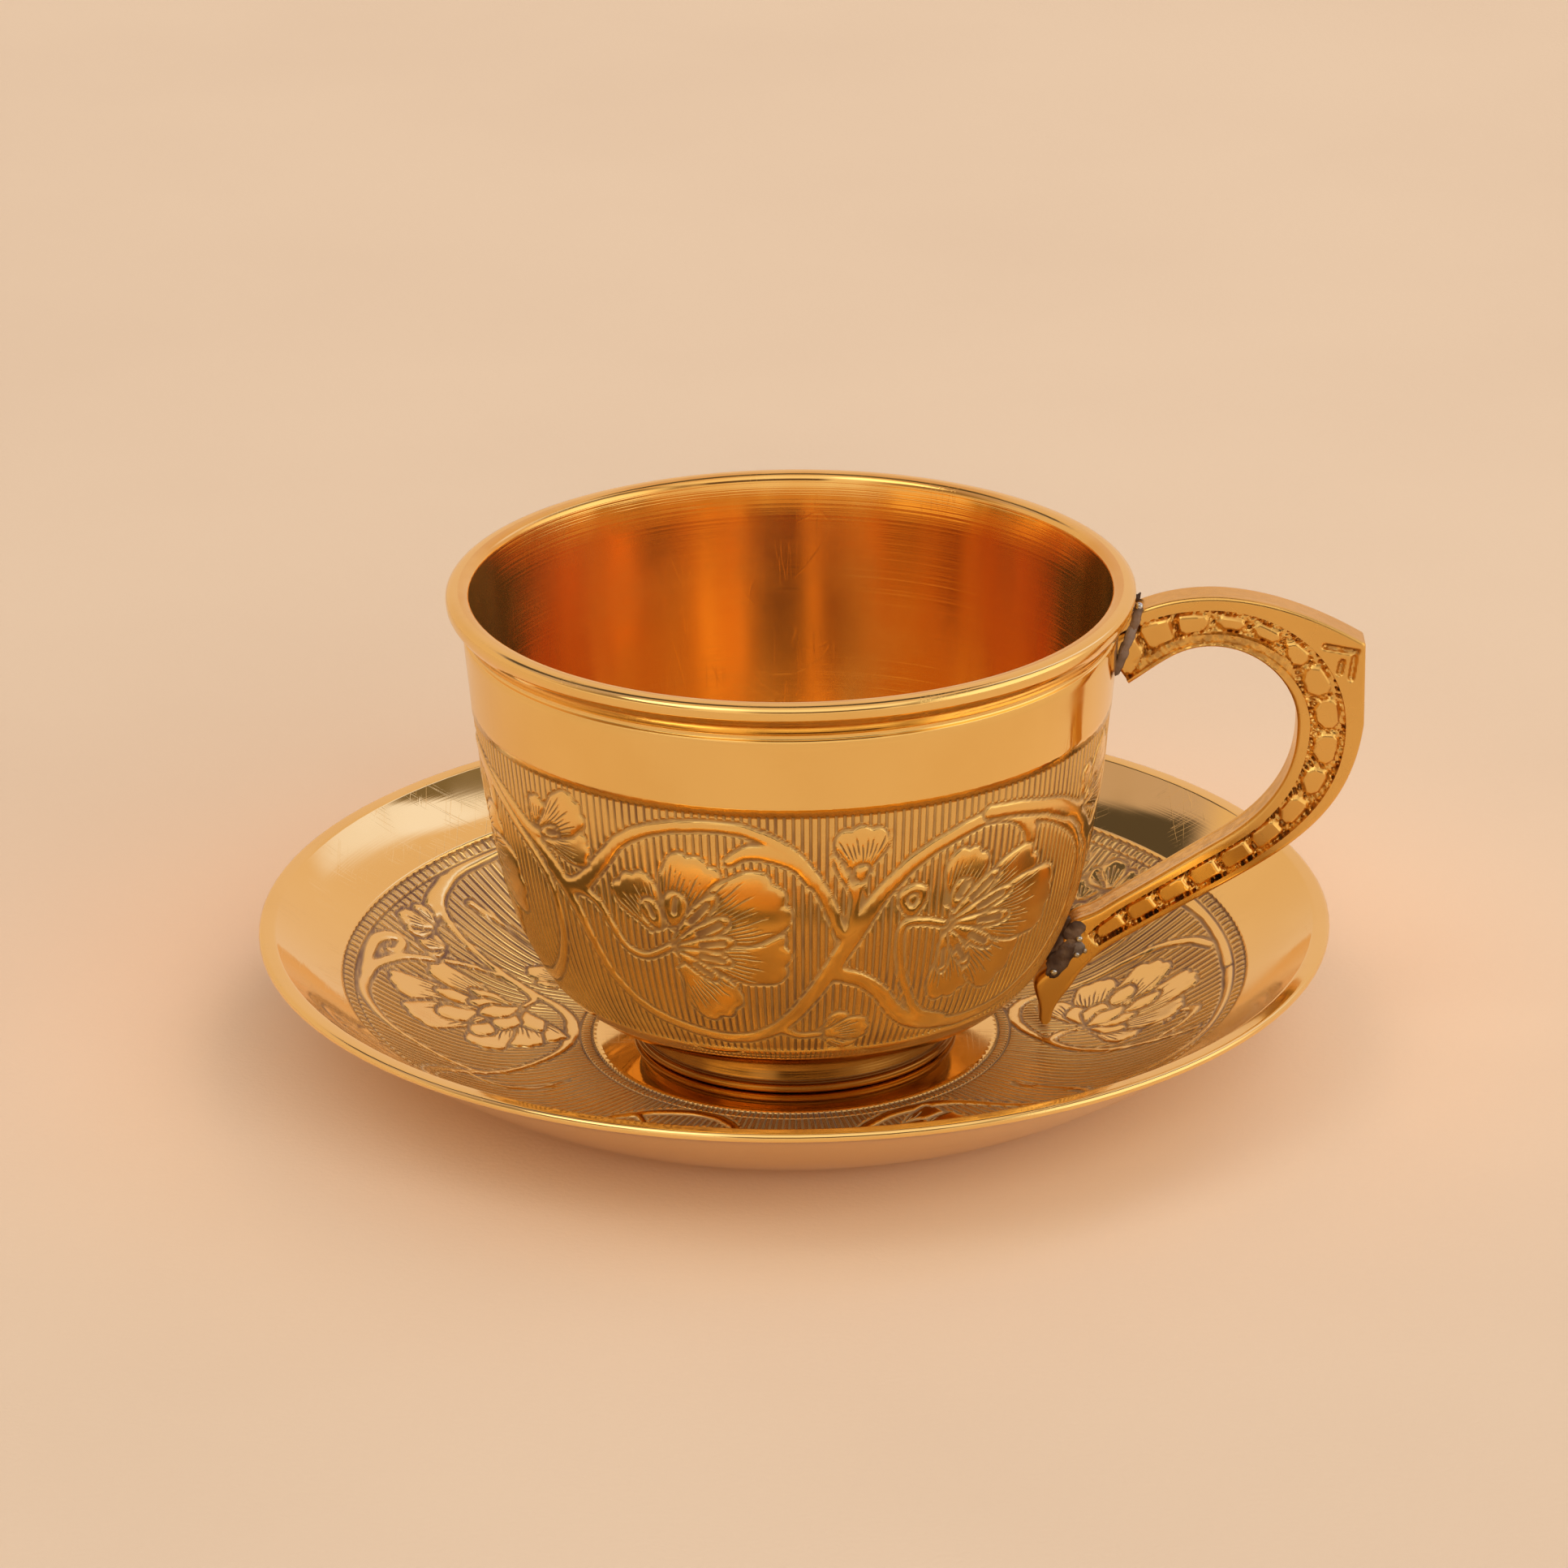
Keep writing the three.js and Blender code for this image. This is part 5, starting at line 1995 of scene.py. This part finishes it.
@dataclass(frozen=True)
class Lamp:
    """A lamp that points at the object, lights what is matt and isn't seen in the metal.

    Attributes:
        name: its name.
        kind: what it is.
        place: where it hangs.
        energy: power of an area, or strength of a sun.
        colour: colour of its light.
        settings: what else its kind needs.
    """

    name: str
    kind: LampKind
    place: Triple
    energy: float
    colour: Triple
    settings: dict[str, object]

    def hang(self) -> bpy.types.Object:
        """Hangs the lamp so that it points just above the middle of the floor.

        Returns:
            The hung lamp.
        """
        data = bpy.data.lights.new(self.name, self.kind.value)
        data.energy = self.energy
        data.color = self.colour
        for key, value in self.settings.items():
            setattr(data, key, value)
        lamp = bpy.data.objects.new(self.name, data)
        x, y, z = np.array(self.place) - AIM
        lamp.location = self.place
        lamp.rotation_euler = (math.atan2(math.hypot(x, y), z), 0.0, math.atan2(x, -y))
        lamp.visible_glossy = False
        lamp.visible_camera = False
        bpy.context.scene.collection.objects.link(lamp)
        return lamp


@dataclass
class Studio:
    """Plain floor, the room that the metal mirrors, soft light and the camera.

    Attributes:
        patches: direction, start and full dot product, and colour of each bright patch of the room.
    """

    floor_half: float = 4.0
    floor_squares: int = 8
    left_wall: Colour = (0.82, 0.60, 0.43, 1.0)
    right_wall: Colour = (0.84, 0.63, 0.51, 1.0)
    high_left_wall: Colour = (0.60, 0.46, 0.46, 1.0)
    beam: Colour = (0.10, 0.08, 0.07, 1.0)
    window: Colour = (1.02, 1.06, 1.6, 1.0)
    eave: Colour = (0.22, 0.17, 0.12, 1.0)
    low_front: Colour = (0.95, 0.76, 0.58, 1.0)
    high_front: Colour = (1.1, 1.0, 0.9, 1.0)
    front_sides: Colour = (0.36, 0.25, 0.17, 1.0)
    front_strip: Colour = (0.12, 0.07, 0.05, 1.0)
    patches: tuple[tuple[Triple, float, float, Colour], ...] = (
        ((0.922, -0.2, 0.331), 0.80, 0.95, (1.4, 1.28, 1.1, 1.0)),
        ((-0.45, -0.40, 0.80), 0.95, 0.975, (2.2, 2.1, 1.9, 1.0)))
    lens: float = 167.7
    place: Triple = (-0.00104, -0.81763, 0.36409)
    look_down: float = 22.0
    roll: float = -0.6

    def floor(self) -> bpy.types.Object:
        """Makes the floor: a flat grid that lies just clear of the dish.

        Returns:
            The floor.
        """
        count = self.floor_squares
        side = np.linspace(-self.floor_half, self.floor_half, count + 1) / MM
        x, y = np.meshgrid(side, side)
        points = np.stack([x.ravel(), y.ravel(), np.full(x.size, -FLOOR_GAP / MM)], axis=1)
        corner = (np.arange(count)[:, None] * (count + 1) + np.arange(count)).reshape(-1, 1)
        faces = corner + np.array([0, 1, count + 2, count + 1])
        share = points[:, :2] * MM / self.floor_half * 0.5 + 0.5
        paper = Paper("floor_paper", tint=(0.69, 0.565, 0.43, 1.0), shade=(0.665, 0.54, 0.41, 1.0))
        floor = make_piece("floor", Surface(points, [faces], [share[faces]]), paper.material())
        return floor

    def world(self) -> None:
        """Room round the object: rosy wall, dark beam and window behind, bright front with a dark strip.

        The beam, the window and its eave are bands of y + 0.9 z of the view direction. Each patch is a
        smooth step of the dot product of the view direction with its own.
        """
        world = bpy.data.worlds.new("studio")
        world.use_nodes = True
        bpy.context.scene.world = world
        graph = Graph(world.node_tree)
        back = next(node for node in graph.tree.nodes if node.type == "BACKGROUND")
        direction = graph.node("ShaderNodeTexCoord").outputs["Generated"]
        x, y, z = graph.node("ShaderNodeSeparateXYZ", {0: direction}).outputs
        up = graph.maths("ADD", y, graph.product(z, 0.9))
        left, right = graph.step(x, -0.3, -0.38), graph.step(x, 0.42, 0.5)
        behind = graph.mix(graph.step(x, -0.5, 0.25), self.left_wall, self.right_wall)
        behind = graph.mix(graph.product(left, graph.step(z, 0.54, 0.64)), behind, self.high_left_wall)
        beam = graph.product(left, graph.step(up, 1.03, 1.08), graph.step(z, 0.58, 0.65))
        middle = graph.product(graph.step(z, 0.74, 0.80), graph.step(y, 0.25, 0.32),
                               graph.band(x, -0.5, -0.4, 0.25, 0.35))
        behind = graph.mix(graph.maths("MAXIMUM", beam, middle), behind, self.beam)
        window = graph.product(right, graph.band(up, 0.95, 0.98, 1.08, 1.13), graph.step(z, 0.36, 0.5))
        behind = graph.mix(window, behind, self.window)
        eave = graph.product(right, graph.step(up, 0.98, 0.95), graph.step(z, 0.58, 0.64))
        behind = graph.mix(eave, behind, self.eave)
        front = graph.mix(graph.step(z, 0.3, 0.7), self.low_front, self.high_front)
        sides = graph.product(graph.step(graph.maths("ABSOLUTE", x), 0.42, 0.62), graph.step(z, 0.1, 0.28))
        front = graph.mix(sides, front, self.front_sides)
        strip = graph.product(graph.band(x, -0.28, -0.16, 0.44, 0.56), graph.band(z, 0.12, 0.22, 0.5, 0.62))
        front = graph.mix(strip, front, self.front_strip)
        colour = graph.mix(graph.step(y, 0.05, -0.35), behind, front)
        for aim, low, high, glow in self.patches:
            nearness = graph.node("ShaderNodeVectorMath", {0: direction, 1: aim}, operation="DOT_PRODUCT")
            colour = graph.mix(graph.step(nearness.outputs["Value"], low, high), colour, glow)
        graph.link(colour, back, "Color")

    @staticmethod
    def lamps(floor: bpy.types.Object) -> None:
        """Hangs a soft box at the back right, broad light in front, and the dish's glow on the floor.

        Args:
            floor: the one thing that the glow lights.
        """
        Lamp("key", LampKind.AREA, (0.63, 0.35, 0.90), 1.4, DAYLIGHT,
             {"shape": "RECTANGLE", "size": 1.2, "size_y": 1.1}).hang()
        Lamp("front", LampKind.SUN, (0.7, -1.7, 0.8), 2.1, DAYLIGHT, {"angle": math.radians(55.0)}).hang()
        glow = Lamp("glow", LampKind.AREA, (0.0, -0.001, 0.026), 0.1, BRASS_LIGHT,
                    {"shape": "DISK", "size": 0.125, "use_shadow": False}).hang()
        lit = bpy.data.collections.new("lit_by_glow")
        lit.objects.link(floor)
        glow.light_linking.receiver_collection = lit

    def camera(self) -> None:
        """Makes the camera at the photograph's angle."""
        data = bpy.data.cameras.new("camera")
        data.sensor_width = 36.0
        data.lens = self.lens
        data.clip_start = 0.05
        data.clip_end = 50.0
        camera = bpy.data.objects.new("camera", data)
        camera.location = self.place
        camera.rotation_euler = (math.radians(90.0 - self.look_down), 0.0, 0.0)
        camera.rotation_euler.rotate_axis("Z", math.radians(self.roll))
        bpy.context.scene.collection.objects.link(camera)
        bpy.context.scene.camera = camera

    def build(self) -> None:
        """Makes the whole studio."""
        floor = self.floor()
        self.world()
        self.lamps(floor)
        self.camera()
        bpy.context.scene.view_settings.view_transform = "Standard"


def main() -> None:
    """Builds the studio and each sub-assembly in order."""
    logging.basicConfig(level=logging.INFO, format="%(message)s")
    Studio().build()
    effects = Effects()
    braze = Braze("braze", bright=(0.27, 0.19, 0.14, 1.0), dull=(0.19, 0.13, 0.095, 1.0),
                  dark=(0.08, 0.047, 0.034, 1.0), gloss=(0.4, 0.2), rough=0.66, metal=0.7)
    braze_material = braze.material(effects)
    bowl = Bowl()
    Saucer().build(effects)
    bowl.build(effects)
    foot = Foot()
    foot.build(effects)
    foot.fillet(braze_material)
    Handle(bowl).build(effects)
    Seams().build(braze_material)


if __name__ == "__main__":
    main()
